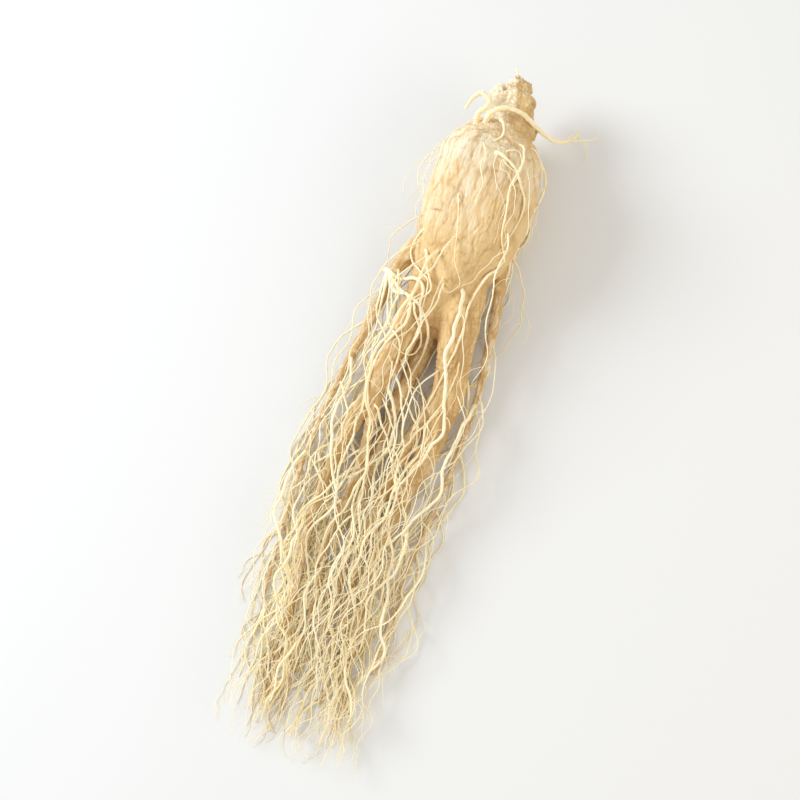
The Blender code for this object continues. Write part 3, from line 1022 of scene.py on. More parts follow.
@dataclass
class Flesh:
    """The taproot and the thick parts of its legs, fused into one wrinkled skin.

    Attributes:
        plan: where the members run.
        voxel: the fused skin's spacing.
        thin_radius: the radius below which a leg is left to its thin end.
        overlap: the length over which a thick part is drawn in at its end.
        drawn_in: how much the taproot is drawn in between the legs.
        tail_of_taproot: from where to where it is drawn in, as shares of the body's length.
        taproot_steps, side_count, leg_sides, ring_spacing: how fine the sweeps are.
        fillet, fillet_rounds: how far from a fold the skin is softened, and how often.
        polish_rounds: how often all of it is softened.
        blend: how far from a fold the other member's wrinkles still show.
        floor_gap: how far above the table the skin stays.
    """

    plan: RootPlan
    voxel: float = 0.42
    thin_radius: float = 4.0
    overlap: float = 5.0
    drawn_in: float = 0.75
    tail_of_taproot: Span = (0.98, 1.25)
    taproot_steps: int = 110
    side_count: int = 96
    leg_sides: int = 48
    ring_spacing: float = 0.5
    fillet: float = 2.8
    fillet_rounds: int = 32
    polish_rounds: int = 3
    blend: float = 4.0
    floor_gap: float = 0.02

    def taproot(self) -> Surface:
        """Sweeps the taproot: its radius times 1 plus the flutes, drawn in between the legs.

        Returns:
            A closed surface.
        """
        route = smooth_route(self.plan.placed(TAPROOT), self.taproot_steps)
        path = route[None, :, :3]
        spoke = spokes(*carried_frames(path), self.side_count)[0]
        turn = np.arctan2(spoke[:, :, 2], spoke[:, :, 1])
        along = self.plan.tailward(route)[:, None]
        narrowing = 1 - self.drawn_in * smooth_step(along, *self.tail_of_taproot)
        radii = route[:, 3:] * (1 + Flutes().relief(along, turn)) * narrowing
        return tubes(path, radii[None], self.side_count)

    def thick_part(self, route: Array) -> Surface:
        """Sweeps a leg down to where it gets thin, its end drawn in so that a tail covers it.

        Args:
            route: the leg's x, y, z and radius.

        Returns:
            A closed surface.
        """
        fine, cut = self.split(route)
        thick = fine[:cut]
        left_over = np.arange(cut)[::-1] * self.ring_spacing
        radii = thick[:, 3] * smooth_step(left_over, -3.0, self.overlap)
        return tubes(thick[None, :, :3], radii[None, :, None], self.leg_sides)

    def split(self, route: Array) -> tuple[Array, int]:
        """Cuts a leg in two where its radius falls below the thin one.

        Args:
            route: the leg's x, y, z and radius.

        Returns:
            The route read every ring_spacing, and how many of its points the thick part takes.
        """
        fine = smooth_route(route, int(walked_along(route)[-1] / self.ring_spacing))
        least = int(2 * self.overlap / self.ring_spacing)
        return fine, max(int((fine[:, 3] > self.thin_radius).sum()), least)

    def union(self, members: MemberMap) -> bpy.types.Mesh:
        """Sweeps the parts, fuses them, and softens the folds between them and then the whole.

        Args:
            members: the taproot and the legs.

        Returns:
            A mesh of its own, without wrinkles yet.
        """
        nodule = self.plan.placed([LEG_NODULE])[0]
        parts = [self.taproot(), *(self.thick_part(route) for route in members.routes[1:])]
        parts.append(ball(nodule[:3], nodule[3], LEG_NODULE[4]))
        mesh = fused(parts, self.voxel)
        points = points_of(mesh)
        near, second = members.nearest_two(points)
        fold = 1 - smooth_step(second.gap - near.gap, 0.0, self.fillet)
        points = softened(mesh, points, 0.5 * fold, self.fillet_rounds)
        set_points(mesh, softened(mesh, points, 0.5, self.polish_rounds))
        return mesh

    def build(self) -> bpy.types.Object:
        """Moves the fused skin's points along their normals by the wrinkles and marks.

        Near a fold the wrinkles are a mix of both members', by their gaps.

        Returns:
            The piece, which keeps what its material reads.
        """
        members = MemberMap([self.plan.routes()["taproot"], *self.plan.legs()])
        mesh = self.union(members)
        points = points_of(mesh)
        near, second = members.nearest_two(points)
        mix = 0.5 + 0.5 * smooth_step(second.gap - near.gap, 0.0, self.blend)
        own, other = (np.array(DriedSkin().relief(place)) for place in (near, second))
        rise, crease = mix * own + (1 - mix) * other
        mark, brown = Marks().relief(near, [walked_along(route)[-1] for route in members.routes])
        points = points + (rise + mark)[:, None] * normals_of(mesh)
        points[:, 2] = np.maximum(points[:, 2], self.floor_gap)
        set_points(mesh, points)
        # Painted shade in the hollows of the wrinkles.
        keep_trait(mesh, Trait.CREASE, crease)
        keep_trait(mesh, Trait.SCAR, brown)
        keep_trait(mesh, Trait.TAN, self.tan(points, near))
        return bpy.data.objects.new("taproot_and_legs", mesh)

    def tan(self, points: Array, near: SkinPlace) -> Array:
        """Adds up tan and painted shade: crown, waist, thinness, table, right side and patches.

        Each is a share from 0 to 1, by an S-curve of one coordinate, times its strength.

        Args:
            points: the skin's points.
            near: their places on the nearest members.

        Returns:
            How tan each point is, painted shade included.
        """
        tailward = self.plan.tailward(points)
        crown = 1 - smooth_step(tailward, -0.02, 0.20)
        # Tanner down the lower body to the waist: partly the root's own tan, partly painted shade.
        waist = smooth_step(tailward, 0.15, 1.0) * (1 - 0.75 * smooth_step(tailward, 1.0, 2.2))
        thin = 1 - smooth_step(near.radius, 2.0, 12.0)
        # Painted shade: darker near the table, under the root.
        below = 1 - smooth_step(points[:, 2], 0.0, 14.0)
        # Painted shade: darker on the right, the side away from the key light.
        right = smooth_step((self.plan.crown_y - points[:, 1]) / self.plan.body_radius, 0.1, 1.0)
        patch = near.tan_patches()
        return (
            0.3 * crown + 0.85 * waist + 0.1 * thin + 0.15 * below + 0.35 * right + 0.3 * patch
        )


@dataclass
class ThinEnds:
    """The ends of the legs and side roots, where they are too thin for the fused skin.

    Attributes:
        plan, flesh: where the members run, and where the thick parts end.
        side_count: how many sides an end has.
        sunk: how far inside the thick part an end begins.
        slimmer: how much slimmer it is there.
        least_share: the least that wrinkles leave of the radius.
        floor_share, floor_gap: how far above the table it stays, in radii and millimetres.
    """

    plan: RootPlan
    flesh: Flesh
    side_count: int = 32
    sunk: float = 12.0
    slimmer: float = 0.2
    least_share: float = 0.4
    floor_share: float = 1.15
    floor_gap: float = 0.05

    def one_end(self, number: int, legs: Sequence[Array]) -> tuple[Surface, list[Array]]:
        """Sweeps one end: at each ring and angle, its radius plus the wrinkles and marks there.

        Args:
            number: the member's number, 1 for the first leg.
            legs: the legs' routes.

        Returns:
            A closed surface, and a number for each of its points for each trait.
        """
        spacing, sides = self.flesh.ring_spacing, self.side_count
        fine, cut = self.flesh.split(legs[number - 1])
        first = max(cut - int(self.sunk / spacing), 0)
        end = fine[first:]
        walked = np.repeat(np.arange(first, len(fine)) * spacing, sides)
        turn = np.tile(math.pi - angles(sides), len(end))
        radius = np.repeat(end[:, 3], sides)
        place = SkinPlace(np.full(walked.shape, number), walked, turn, radius, 0 * walked)
        rise, crease = DriedSkin().relief(place)
        mark, brown = Marks().relief(place, [0.0, *(walked_along(leg)[-1] for leg in legs)])
        outside = smooth_step(np.arange(len(end)) * spacing, 0.0, 0.5 * self.sunk)
        plain = (end[:, 3] * (1 - self.slimmer * (1 - outside)))[:, None]
        radii = np.maximum(plain + (rise + mark).reshape(-1, sides), self.least_share * plain)
        path = end[:, :3].copy()
        path[:, 2] = np.maximum(path[:, 2], end[:, 3] * self.floor_share + self.floor_gap)
        _, left, up = across(end)
        surface = tubes(path[None], radii[None], sides, (-left[None], up[None]))
        tan = 0.2 + 0.35 * smooth_step(radius, 1.0, 4.0) + 0.3 * place.tan_patches()
        # The crease values are painted shade in the hollows of the wrinkles.
        return surface, [np.r_[values, values[0], values[-1]] for values in (crease, brown, tan)]

    def build(self) -> bpy.types.Object:
        """Joins all the ends.

        Returns:
            The piece, which keeps what its material reads.
        """
        legs = self.plan.legs()
        ends = [self.one_end(number, legs) for number in range(1, len(legs) + 1)]
        mesh = Surface.joined([surface for surface, _ in ends]).mesh("leg_ends")
        for trait, parts in zip(Trait, zip(*(traits for _, traits in ends))):
            keep_trait(mesh, trait, np.concatenate(parts))
        return bpy.data.objects.new("leg_ends", mesh)


@dataclass
class Neck:
    """The knobbly neck: buds and stem scars crowded on a short stalk.

    Attributes:
        plan: where the neck stands.
        voxel, steps, side_count, knob_rings: how fine the skin, the stalk and the knobs are.
        rounds: how often the fused skin is softened.
        seed: the first noise's seed; the others follow it.
        lump, wart, ring, fibre: how far each kind stands out or cuts in.
        lump_cell, wart_cell, ring_cell, fibre_cell: the sizes of their cells.
        bend_cell, bend: the size of a slow noise that bends the others, and how far it does.
        cup_depth, cup_size, cup_lip: a cup's depth, its radius as a share of the knob's, and
            its rim's width.
        cup_lean: how far headward the cups lean.
        bright: from where to where, leftward, the bark is painted paler as the side the key light falls
            on.
    """

    plan: RootPlan
    voxel: float = 0.25
    steps: int = 60
    side_count: int = 48
    knob_rings: int = 20
    rounds: int = 30
    seed: int = 41
    lump: float = 0.55
    wart: float = 0.22
    ring: float = 0.20
    fibre: float = 0.14
    lump_cell: Wave = (4.2, 3.2, 3.2)
    wart_cell: Wave = (2.0, 1.6, 1.6)
    ring_cell: Wave = (1.3, 6.0, 6.0)
    fibre_cell: Wave = (5.0, 0.8, 0.8)
    bend_cell: float = 3.0
    bend: float = 0.4
    cup_depth: float = 0.85
    cup_size: float = 0.55
    cup_lip: float = 0.26
    cup_lean: float = 0.35
    bright: Span = (-0.40, -0.1)

    def cups(self, points: Array, route: Array, knobs: Sequence[Array]) -> tuple[Array, Array]:
        """Sinks a cup into each knob's top: a bell of distance from it, inside a ring.

        Args:
            points: the skin's points.
            route: the stalk's.
            knobs: each knob's x, y, z and radius.

        Returns:
            How far the cups lift the skin, and how deep in a cup it is.
        """
        rise, inside = np.zeros((2, len(points)))
        for knob in knobs:
            axis = route[np.linalg.norm(route[:, :3] - knob[:3], axis=1).argmin(), :3]
            top = knob[:3] + unit(knob[:3] - axis + (self.cup_lean, 0.0, 0.0)) * knob[3]
            away = np.linalg.norm(points - top, axis=1) / (self.cup_size * knob[3])
            lip, cup = np.exp(-(((away - 1) / self.cup_lip) ** 2)), np.exp(-3 * away**4)
            rise += self.cup_depth * (0.5 * lip - 0.8 * cup) * knob[3] / 4
            inside += 0.7 * cup
        return rise, inside

    def build(self) -> bpy.types.Object:
        """Fuses the stalk and its knobs, and moves the points along their normals by the bark.

        The bark has cups, low warts, rings round the neck and fibres along it: puffed cells,
        then wandering lines drawn out one way and the other.

        Returns:
            The piece, which keeps what its material reads.
        """
        route = smooth_route(self.plan.placed(NECK), self.steps)
        knobs = self.plan.placed(NECK_KNOBS)
        parts = [tubes(route[None, :, :3], route[None, :, 3:], self.side_count)]
        for knob, row in zip(knobs, NECK_KNOBS):
            parts.append(ball(knob[:3], knob[3], row[4], self.knob_rings))
        mesh = fused(parts, self.voxel)
        points = softened(mesh, points_of(mesh), 0.5, self.rounds)
        set_points(mesh, points)
        bend = self.bend * Waves(self.seed + 3)(points / self.bend_cell)[:, None]
        wart = 1 - Welts(self.seed)(points / self.wart_cell + bend)
        ring = Waves(self.seed + 4).lines(points / self.ring_cell + bend, 5.0)
        fibre = Waves(self.seed + 1).lines(points / self.fibre_cell + bend, 2.0)
        lump = Waves(self.seed + 2)(points / self.lump_cell)
        rise, inside = self.cups(points, route, knobs)
        rise += self.lump * lump - self.wart * wart - self.ring * ring - self.fibre * fibre
        set_points(mesh, points + rise[:, None] * normals_of(mesh))
        # Painted light: the left side, which the key light falls on, is painted paler and less tan,
        # reaching further where lumps stand out; raised lumps are also less tan.
        left = (points[:, 1] - self.plan.crown_y) / self.plan.body_radius
        bright = smooth_step(left + 0.25 * lump, *self.bright)
        # Painted shade in the hollows of the warts, rings and fibres, less of it on the painted lit
        # side.
        crease = 0.5 * wart + 0.7 * ring + 0.35 * fibre
        keep_trait(mesh, Trait.SCAR, 0.8 * inside)
        keep_trait(mesh, Trait.CREASE, crease * (1 - 0.6 * bright))
        keep_trait(mesh, Trait.TAN, 0.75 - 0.85 * bright - 0.2 * lump)
        return bpy.data.objects.new("neck", mesh)


@dataclass(frozen=True)
class Sprouts:
    """A group of rootlets on one member.

    Attributes:
        member: the member's name.
        count: how many there are.
        first, last: from where to where they start, as shares of the member's length.
        least, most: how far they run, as shares of the way to the tail's end.
        thin, thick: their radii at the base.
    """

    member: str
    count: int
    first: float
    last: float
    least: float
    most: float
    thin: float
    thick: float


@dataclass
class Starts:
    """Where rootlets begin: points, yaw and pitch from straight tailward, lengths and radii."""

    points: Array
    yaw: Array
    pitch: Array
    length: Array
    radius: Array


@dataclass(frozen=True)
class RootletRule:
    """How rootlets grow, by the rule that placed the solid's.

    A rootlet leaves its member at an angle and bends tailward within bend_length. Slow and quick
    waves then sway it, in radians, and it sags to the table.
    """

    steps: int = 48
    tip: float = 0.30
    taper_power: float = 0.8
    start_jitter: Span = (0.1, 0.9)
    thickest_share: float = 0.8
    sunk_share: float = 0.86
    sunk_radii: float = 1.2
    deepest_share: float = 0.3
    leave_angle: float = 0.95
    bend_length: float = 16.0
    slow: Wave = (0.50, 36.0, 75.0)
    quick: Wave = (0.34, 14.0, 26.0)
    sway_strength: Span = (0.5, 1.0)
    upward_share: float = 0.5
    spread_angle: float = 0.20
    sag_angle: float = 0.06
    sag_per_mm: float = 0.012
    gather: float = 0.35
    half_spread: float = 25.0
    free_steps: int = 2
    skin_gap: float = 0.15
    floor_gap: float = 0.12

    def starts(
        self, rng: np.random.Generator, plan: RootPlan, groups: Sequence[Sprouts]
    ) -> Starts:
        """The starts of all rootlets, group by group.

        Each start is on a random side of its member, sunk below its skin.

        Args:
            rng: gives each group's draws in turn.
            plan: says where the members run and where the tail ends.
            groups: what grows on which member.

        Returns:
            The starts, a row for each rootlet.
        """
        found, routes = [], plan.routes()
        for group in groups:
            route = routes[group.member]
            _, left, up = across(route)
            jitter = rng.uniform(*self.start_jitter, group.count)
            spread = (np.arange(group.count) + jitter) / group.count
            along = group.first + (group.last - group.first) * spread
            index = (along * (len(route) - 1)).astype(int)
            turn = rng.uniform(0, TURN, group.count)
            normal = np.cos(turn)[:, None] * left[index] + np.sin(turn)[:, None] * up[index]
            around = route[index, 3]
            thickness = rng.uniform(group.thin, group.thick, group.count)
            thickness = np.minimum(thickness, self.thickest_share * around)
            deepest = self.deepest_share * around
            off_axis = np.maximum(self.sunk_share * around - self.sunk_radii * thickness, deepest)
            start = route[index, :3] + normal * off_axis[:, None]
            yaw, pitch = -self.leave_angle * normal[:, 1], self.leave_angle * normal[:, 2]
            length = rng.uniform(group.least, group.most, group.count) * plan.way_left(start)
            found.append((start, yaw, pitch, length, thickness))
        return Starts(*(np.concatenate(part) for part in zip(*found)))

    def sway_of(
        self, rng: np.random.Generator, count: int, wave: Wave
    ) -> Callable[[Array], Array]:
        """Draws a sine of its own for each rootlet.

        Args:
            rng: gives the draws.
            count: how many rootlets there are.
            wave: the sines' amplitude and their shortest and longest wavelength.

        Returns:
            A function of the distances walked that gives the rootlets' sways.
        """
        amplitude, shortest, longest = wave
        phase = rng.uniform(0, TURN, count)
        length = rng.uniform(shortest, longest, count)
        strength = amplitude * rng.uniform(*self.sway_strength, count)
        return lambda walked: strength * np.sin(TURN * walked / length + phase)

    def kept_out(self, point: Array, radius: Array, spheres: Array) -> Array:
        """Pushes points out of the member that each is deepest in, straight from its axis.

        Args:
            point: the rootlets' points, a row each.
            radius: their radii.
            spheres: the members' x, y, z and radius.

        Returns:
            The points, with skin_gap left between the two.
        """
        row = np.arange(len(point))
        apart = point[:, None] - spheres[None, :, :3]
        distance = np.linalg.norm(apart, axis=2)
        nearest = (distance - spheres[:, 3]).argmin(axis=1)
        off = distance[row, nearest]
        short = np.maximum(spheres[nearest, 3] + radius + self.skin_gap - off, 0)
        return point + apart[row, nearest] / off[:, None] * short[:, None]

    def grow(self, rng: np.random.Generator, plan: RootPlan, starts: Starts) -> Array:
        """Walks every rootlet step by step, out of the members and above the table.

        Args:
            rng: gives the sways' draws.
            plan: says where the members run.
            starts: where the rootlets begin.

        Returns:
            Rootlet, step, then x, y, z and radius.
        """
        count = len(starts.points)
        side_slow, lift_slow = (self.sway_of(rng, count, self.slow) for _ in range(2))
        side_quick, lift_quick = (self.sway_of(rng, count, self.quick) for _ in range(2))
        aim = rng.uniform(-self.spread_angle, self.spread_angle, count)
        spheres = np.concatenate(list(plan.routes().values()))
        taper = np.linspace(1, 0, self.steps + 1) ** self.taper_power
        grown = np.empty((count, self.steps + 1, 4))
        grown[:, 0, :3] = starts.points
        grown[:, :, 3] = self.tip + (starts.radius[:, None] - self.tip) * taper
        for k in range(self.steps):
            walked = starts.length * k / self.steps
            here, radius = grown[:, k, :3], grown[:, k + 1, 3]
            fresh = np.exp(-walked / self.bend_length)
            settled = 1 - fresh
            side = (here[:, 1] - plan.crown_y) / self.half_spread
            turn = fresh * starts.yaw + settled * (aim + side_slow(walked) + side_quick(walked))
            turn += settled * self.gather * side * np.abs(side)
            lift = self.upward_share * (lift_slow(walked) + lift_quick(walked))
            sag = self.sag_angle + self.sag_per_mm * here[:, 2]
            rise = fresh * starts.pitch + settled * (lift - sag)
            level = np.cos(rise)
            heading = np.stack((-np.cos(turn) * level, -np.sin(turn) * level, np.sin(rise)), axis=1)
            point = here + heading * (starts.length / self.steps)[:, None]
            if k >= self.free_steps:
                point = self.kept_out(point, radius, spheres)
            point[:, 2] = np.maximum(point[:, 2], radius + self.floor_gap)
            grown[:, k + 1, :3] = point
        return grown


FINE_RULE = RootletRule(
    tip=0.12, slow=(0.55, 30.0, 70.0), quick=(0.45, 10.0, 24.0), spread_angle=0.30
)
TWIG_RULE = RootletRule(
    steps=16,
    tip=0.07,
    bend_length=9.0,
    spread_angle=0.45,
    slow=(0.6, 20.0, 45.0),
    quick=(0.55, 6.0, 14.0),
    free_steps=1,
)

# The solid's rootlets, then the finer ones that only the dressed root has.
MAIN_SPROUTS: tuple[Sprouts, ...] = (
    Sprouts("taproot", 4, 0.05, 0.16, 0.14, 0.30, 0.36, 0.52),
    Sprouts("taproot", 5, 0.42, 0.86, 0.40, 0.80, 0.50, 0.80),
    Sprouts("leg_right", 9, 0.22, 0.88, 0.55, 0.98, 0.50, 0.85),
    Sprouts("leg_left", 8, 0.26, 0.88, 0.55, 0.98, 0.50, 0.80),
    Sprouts("leg_under", 5, 0.30, 0.90, 0.60, 0.98, 0.45, 0.70),
    Sprouts("side_root_left", 5, 0.24, 0.84, 0.45, 0.95, 0.42, 0.70),
    Sprouts("side_root_right", 4, 0.26, 0.84, 0.50, 0.95, 0.42, 0.62),
    Sprouts("fork_right", 3, 0.25, 0.85, 0.60, 0.98, 0.42, 0.62),
    Sprouts("fork_left", 3, 0.25, 0.85, 0.60, 0.98, 0.42, 0.62),
)
FINE_SPROUTS: tuple[Sprouts, ...] = (
    Sprouts("taproot", 10, 0.05, 0.24, 0.05, 0.16, 0.16, 0.30),
    Sprouts("taproot", 16, 0.40, 0.90, 0.12, 0.55, 0.20, 0.40),
    Sprouts("leg_right", 34, 0.16, 0.95, 0.30, 0.97, 0.24, 0.50),
    Sprouts("leg_left", 30, 0.20, 0.95, 0.30, 0.97, 0.24, 0.50),
    Sprouts("leg_under", 22, 0.25, 0.95, 0.35, 0.97, 0.24, 0.46),
    Sprouts("side_root_left", 24, 0.12, 0.92, 0.25, 0.95, 0.22, 0.44),
    Sprouts("side_root_right", 18, 0.20, 0.92, 0.30, 0.95, 0.22, 0.42),
    Sprouts("fork_right", 14, 0.20, 0.92, 0.45, 0.97, 0.22, 0.42),
    Sprouts("fork_left", 12, 0.20, 0.92, 0.45, 0.97, 0.22, 0.42),
)


def eased(grown: Array, near_base: int = 10, fade: float = 5.0) -> Array:
    """Rootlets with their bends rounded, most of all near the base.

    Each round replaces a point by the mean of itself and its neighbours' mean. The result is
    near_base rounds at the base, fading over some steps to one round.

    Args:
        grown: rootlet, step, then x, y, z and radius.
        near_base: how many rounds there are at the base.
        fade: over how many steps they fade.

    Returns:
        The same, with its radii as they were.
    """
    once = twice = grown
    for number in range(near_base):
        middle = 0.5 * twice[:, 1:-1] + 0.25 * (twice[:, :-2] + twice[:, 2:])
        twice = np.concatenate((twice[:, :1], middle, twice[:, -1:]), axis=1)
        once = twice if number == 0 else once
    weight = np.exp(-((np.arange(grown.shape[1]) / fade) ** 2))[None, :, None]
    mixed = weight * twice + (1 - weight) * once
    return np.concatenate((mixed[:, :, :3], grown[:, :, 3:]), axis=2)


def refined(grown: Array) -> Array:
    """Rootlets with a point more between each two, on the cubic through the four nearest.

    That point is nine sixteenths of the near two's sum less one sixteenth of the far two's.

    Args:
        grown: rootlet, step, then x, y, z and radius.

    Returns:
        The same, with nearly twice as many steps.
    """
    padded = np.concatenate(
        (2 * grown[:, :1] - grown[:, 1:2], grown, 2 * grown[:, -1:] - grown[:, -2:-1]), axis=1
    )
    between = 9 / 16 * (grown[:, :-1] + grown[:, 1:]) - 1 / 16 * (padded[:, :-3] + padded[:, 3:])
    woven = np.stack((grown[:, :-1], between), axis=2).reshape(len(grown), -1, 4)
    return np.concatenate((woven, grown[:, -1:]), axis=1)


@dataclass(frozen=True)
class Crooks:
    """Small crooks and knots of rootlets, and how they flare at the base.

    Attributes:
        crook: how far a usual rootlet is pushed aside.
        slow_cell, quick_cell: the sizes of the noises that push it.
        quick_share: how strong the quick one is beside the slow one.
        usual_radius, sizes: the radius that crook is for, and the least and most for others.
        straight_steps: over how many steps from the base the crooks set in.
        knot, knot_cell: how much knots swell the radius, and their size.
        flare, flare_steps: how much thicker the base is, and over how many steps that fades.
        own_shift: how far apart the rootlets' parts of the noise lie, in cells.
        floor_gap: how far above the table they stay.
    """

    crook: float = 0.45
    slow_cell: float = 6.5
    quick_cell: float = 2.1
    quick_share: float = 0.3
    usual_radius: float = 0.4
    sizes: Span = (0.6, 1.6)
    straight_steps: int = 5
    knot: float = 0.24
    knot_cell: float = 1.7
    flare: float = 0.6
    flare_steps: float = 1.6
    own_shift: float = 5.3
    floor_gap: float = 0.02

    def bent(self, grown: Array, seed: int) -> tuple[Array, Array]:
        """Pushes each point aside by a slow and a quick noise of where it is.

        A third noise swells the radius, and an exponential of the step flares the base.

        Args:
            grown: rootlet, step, then x, y, z and radius.
            seed: the first noise's seed; the others follow it.

        Returns:
            The paths and their radii.
        """
        path, radius = grown[:, :, :3], grown[:, :, 3]
        flat, step = path.reshape(-1, 3), np.arange(path.shape[1])
        own = np.repeat(np.arange(len(path)), len(step))[:, None] * self.own_shift
        slow, quick = flat / self.slow_cell + own, flat / self.quick_cell
        noises = [Waves(seed + axis) for axis in range(3)]
        shift = np.stack([wave(slow) + self.quick_share * wave(quick) for wave in noises], axis=1)
        size = self.crook * np.clip(radius / self.usual_radius, *self.sizes)
        size = size * np.minimum(step / self.straight_steps, 1)
        path = path + shift.reshape(path.shape) * size[:, :, None]
        knots = Waves(seed + 3)(flat / self.knot_cell + own).reshape(radius.shape)
        radius = radius * (1 + self.knot * knots)
        path[:, :, 2] = np.maximum(path[:, :, 2], radius + self.floor_gap)
        return path, radius * (1 + self.flare * np.exp(-step / self.flare_steps))


@dataclass
class Rootlets:
    """The rootlets: the solid's, finer ones beside them, and twigs that branch from both.

    Attributes:
        plan: where the members run.
        crooks: the rootlets' crooks and knots.
        main_seed, fine_seed, twig_seed: seeds of their draws.
        twigs: how many twigs there are.
        bare_base, bare_tip: how many steps of a rootlet bear no twigs.
        twig_yaw, twig_pitch: how far a twig turns aside and up, least and most.
        twig_length, twig_radius, twig_share: a twig's size, and the most of its parent's radius.
        shortest: the least that is left of a twig at the tail's end.
    """

    plan: RootPlan
    crooks: Crooks = Crooks()
    main_seed: int = 41
    fine_seed: int = 97
    twig_seed: int = 53
    twigs: int = 560
    bare_base: int = 6
    bare_tip: int = 4
    twig_yaw: Span = (0.4, 1.2)
    twig_pitch: Span = (-0.2, 0.9)
    twig_length: Span = (5.0, 34.0)
    twig_radius: Span = (0.10, 0.24)
    twig_share: float = 0.7
    shortest: float = 4.0

    def grown(self, rule: RootletRule, groups: Sequence[Sprouts], seed: int) -> Array:
        """The routes of the rootlets of these groups, from the seed's draws."""
        rng = np.random.default_rng(seed)
        return rule.grow(rng, self.plan, rule.starts(rng, self.plan, groups))

    def twig_routes(self, parents: Array) -> Array:
        """Routes of twigs that leave random points of the parents sideways.

        Args:
            parents: rootlet, step, then x, y, z and radius.

        Returns:
            The same for the twigs.
        """
        rng, count = np.random.default_rng(self.twig_seed), self.twigs
        parent = rng.integers(0, len(parents), count)
        step = rng.integers(self.bare_base, parents.shape[1] - self.bare_tip, count)
        here = parents[parent, step]
        heading = unit(parents[parent, step + 1, :3] - here[:, :3])
        yaw = np.arctan2(-heading[:, 1], -heading[:, 0])
        yaw += rng.choice((-1.0, 1.0), count) * rng.uniform(*self.twig_yaw, count)
        pitch = rng.uniform(*self.twig_pitch, count)
        most = np.maximum(self.plan.way_left(here), self.shortest)
        length = np.minimum(rng.uniform(*self.twig_length, count), most)
        radius = np.minimum(rng.uniform(*self.twig_radius, count), self.twig_share * here[:, 3])
        return TWIG_RULE.grow(rng, self.plan, Starts(here[:, :3], yaw, pitch, length, radius))

    def piece(self, name: str, grown: Array, side_count: int, seed: int) -> bpy.types.Object:
        """One piece of all the rootlets of a kind, which keeps how tan each point is.

        A rootlet is tanner towards its tip, and each by its own draw; near the table it is darkened by
        painted shade.

        Args:
            name: the piece's name.
            grown: rootlet, step, then x, y, z and radius.
            side_count: how many sides each has.
            seed: the seed of its crooks and tans.

        Returns:
            The piece.
        """
        path, radius = self.crooks.bent(refined(eased(grown)), seed)
        mesh = tubes(path, radius[..., None], side_count).mesh(name)
        own = np.random.default_rng(seed).uniform(-0.2, 0.4, (len(path), 1))
        # Painted shade: rootlets near the table are darker, as if shaded by those above them.
        low = 1 - smooth_step(path[:, :, 2], 1.0, 9.0)
        tan = np.linspace(0.0, 0.2, path.shape[1]) + own + 0.25 * low
        rings = np.repeat(tan.ravel(), side_count)
        keep_trait(mesh, Trait.TAN, np.concatenate((rings, tan[:, 0], tan[:, -1])))
        return bpy.data.objects.new(name, mesh)

    def build(self) -> list[bpy.types.Object]:
        """The rootlets as three pieces, from thick to fine.

        Returns:
            The pieces.
        """
        main = self.grown(RootletRule(), MAIN_SPROUTS, self.main_seed)
        fine = self.grown(FINE_RULE, FINE_SPROUTS, self.fine_seed)
        twigs = self.twig_routes(np.concatenate((main, fine)))
        return [
            self.piece("rootlets", main, 7, 61),
            self.piece("fine_rootlets", fine, 5, 71),
            self.piece("rootlet_twigs", twigs, 4, 81),
        ]


@dataclass
class Strands:
    """Rootlets that lie over the front where they show, most of them round the waist.

    Attributes:
        plan: where the members run.
        crooks: the strands' crooks and knots.
        seed: the seed of those.
        steps, side_count: how fine a strand is.
        slope: how steeply the height falls off beside a member.
        sink, sink_steps: how deep the base is sunk, and over how many steps it comes out.
        blend: over how many steps to either side the height is smoothed.
        lift: how far above the skin a strand's axis is, in radii.
        tan: how tan the strands are.
    """

    plan: RootPlan
    crooks: Crooks = Crooks(crook=0.25, flare=0.55, flare_steps=4.0)
    seed: int = 121
    steps: int = 100
    side_count: int = 10
    slope: float = 0.8
    sink: float = 2.4
    sink_steps: float = 4.0
    blend: int = 9
    lift: float = 0.7
    tan: float = 0.1

    def heights(self, spot: Array) -> Array:
        """The members' height below each spot.

        A member's point gives a dome of its radius, and a cone that falls off round it. The
        highest of all counts.

        Args:
            spot: x and y as rows.

        Returns:
            One height for each row.
        """
        spheres = np.concatenate(list(self.plan.routes().values()))
        away = np.linalg.norm(spot[:, None] - spheres[None, :, :2], axis=2)
        radius = spheres[:, 3]
        dome = np.sqrt(np.maximum(radius**2 - away**2, 0))
        return (spheres[:, 2] + dome - self.slope * np.maximum(away - radius, 0)).max(axis=1)

    def route(self, strand: Strand) -> Array:
        """Lays a strand over the members, sunk at its base.

        The height is smoothed along the strand by a running mean, and never below the skin.

        Args:
            strand: a row of STRANDS.

        Returns:
            Its x, y, z and radius.
        """
        thick, thin, spots = strand
        rows = np.array([(x, y, 0.0, 0.0) for x, y in spots], float)
        rows[:, :2] += (self.plan.crown_x, self.plan.crown_y)
        route = smooth_route(rows, self.steps)
        share = np.linspace(0, 1, self.steps)
        route[:, 3] = thick + (thin - thick) * share
        height = self.heights(route[:, :2])
        window = 2 * self.blend + 1
        padded = np.pad(height, self.blend, mode="edge")
        laid = np.maximum(np.convolve(padded, np.ones(window) / window, "valid"), height)
        base = self.sink * np.exp(-share * self.steps / self.sink_steps)
        route[:, 2] = laid + self.lift * route[:, 3] - base
        return route

    def build(self) -> bpy.types.Object:
        """Sweeps all the strands, crooked and knotted as the rootlets are.

        Returns:
            The piece, which keeps how tan it is.
        """
        path, radius = self.crooks.bent(np.stack([self.route(row) for row in STRANDS]), self.seed)
        mesh = tubes(path, radius[..., None], self.side_count).mesh("front_rootlets")
        keep_trait(mesh, Trait.TAN, np.full(len(mesh.vertices), self.tan))
        return bpy.data.objects.new("front_rootlets", mesh)


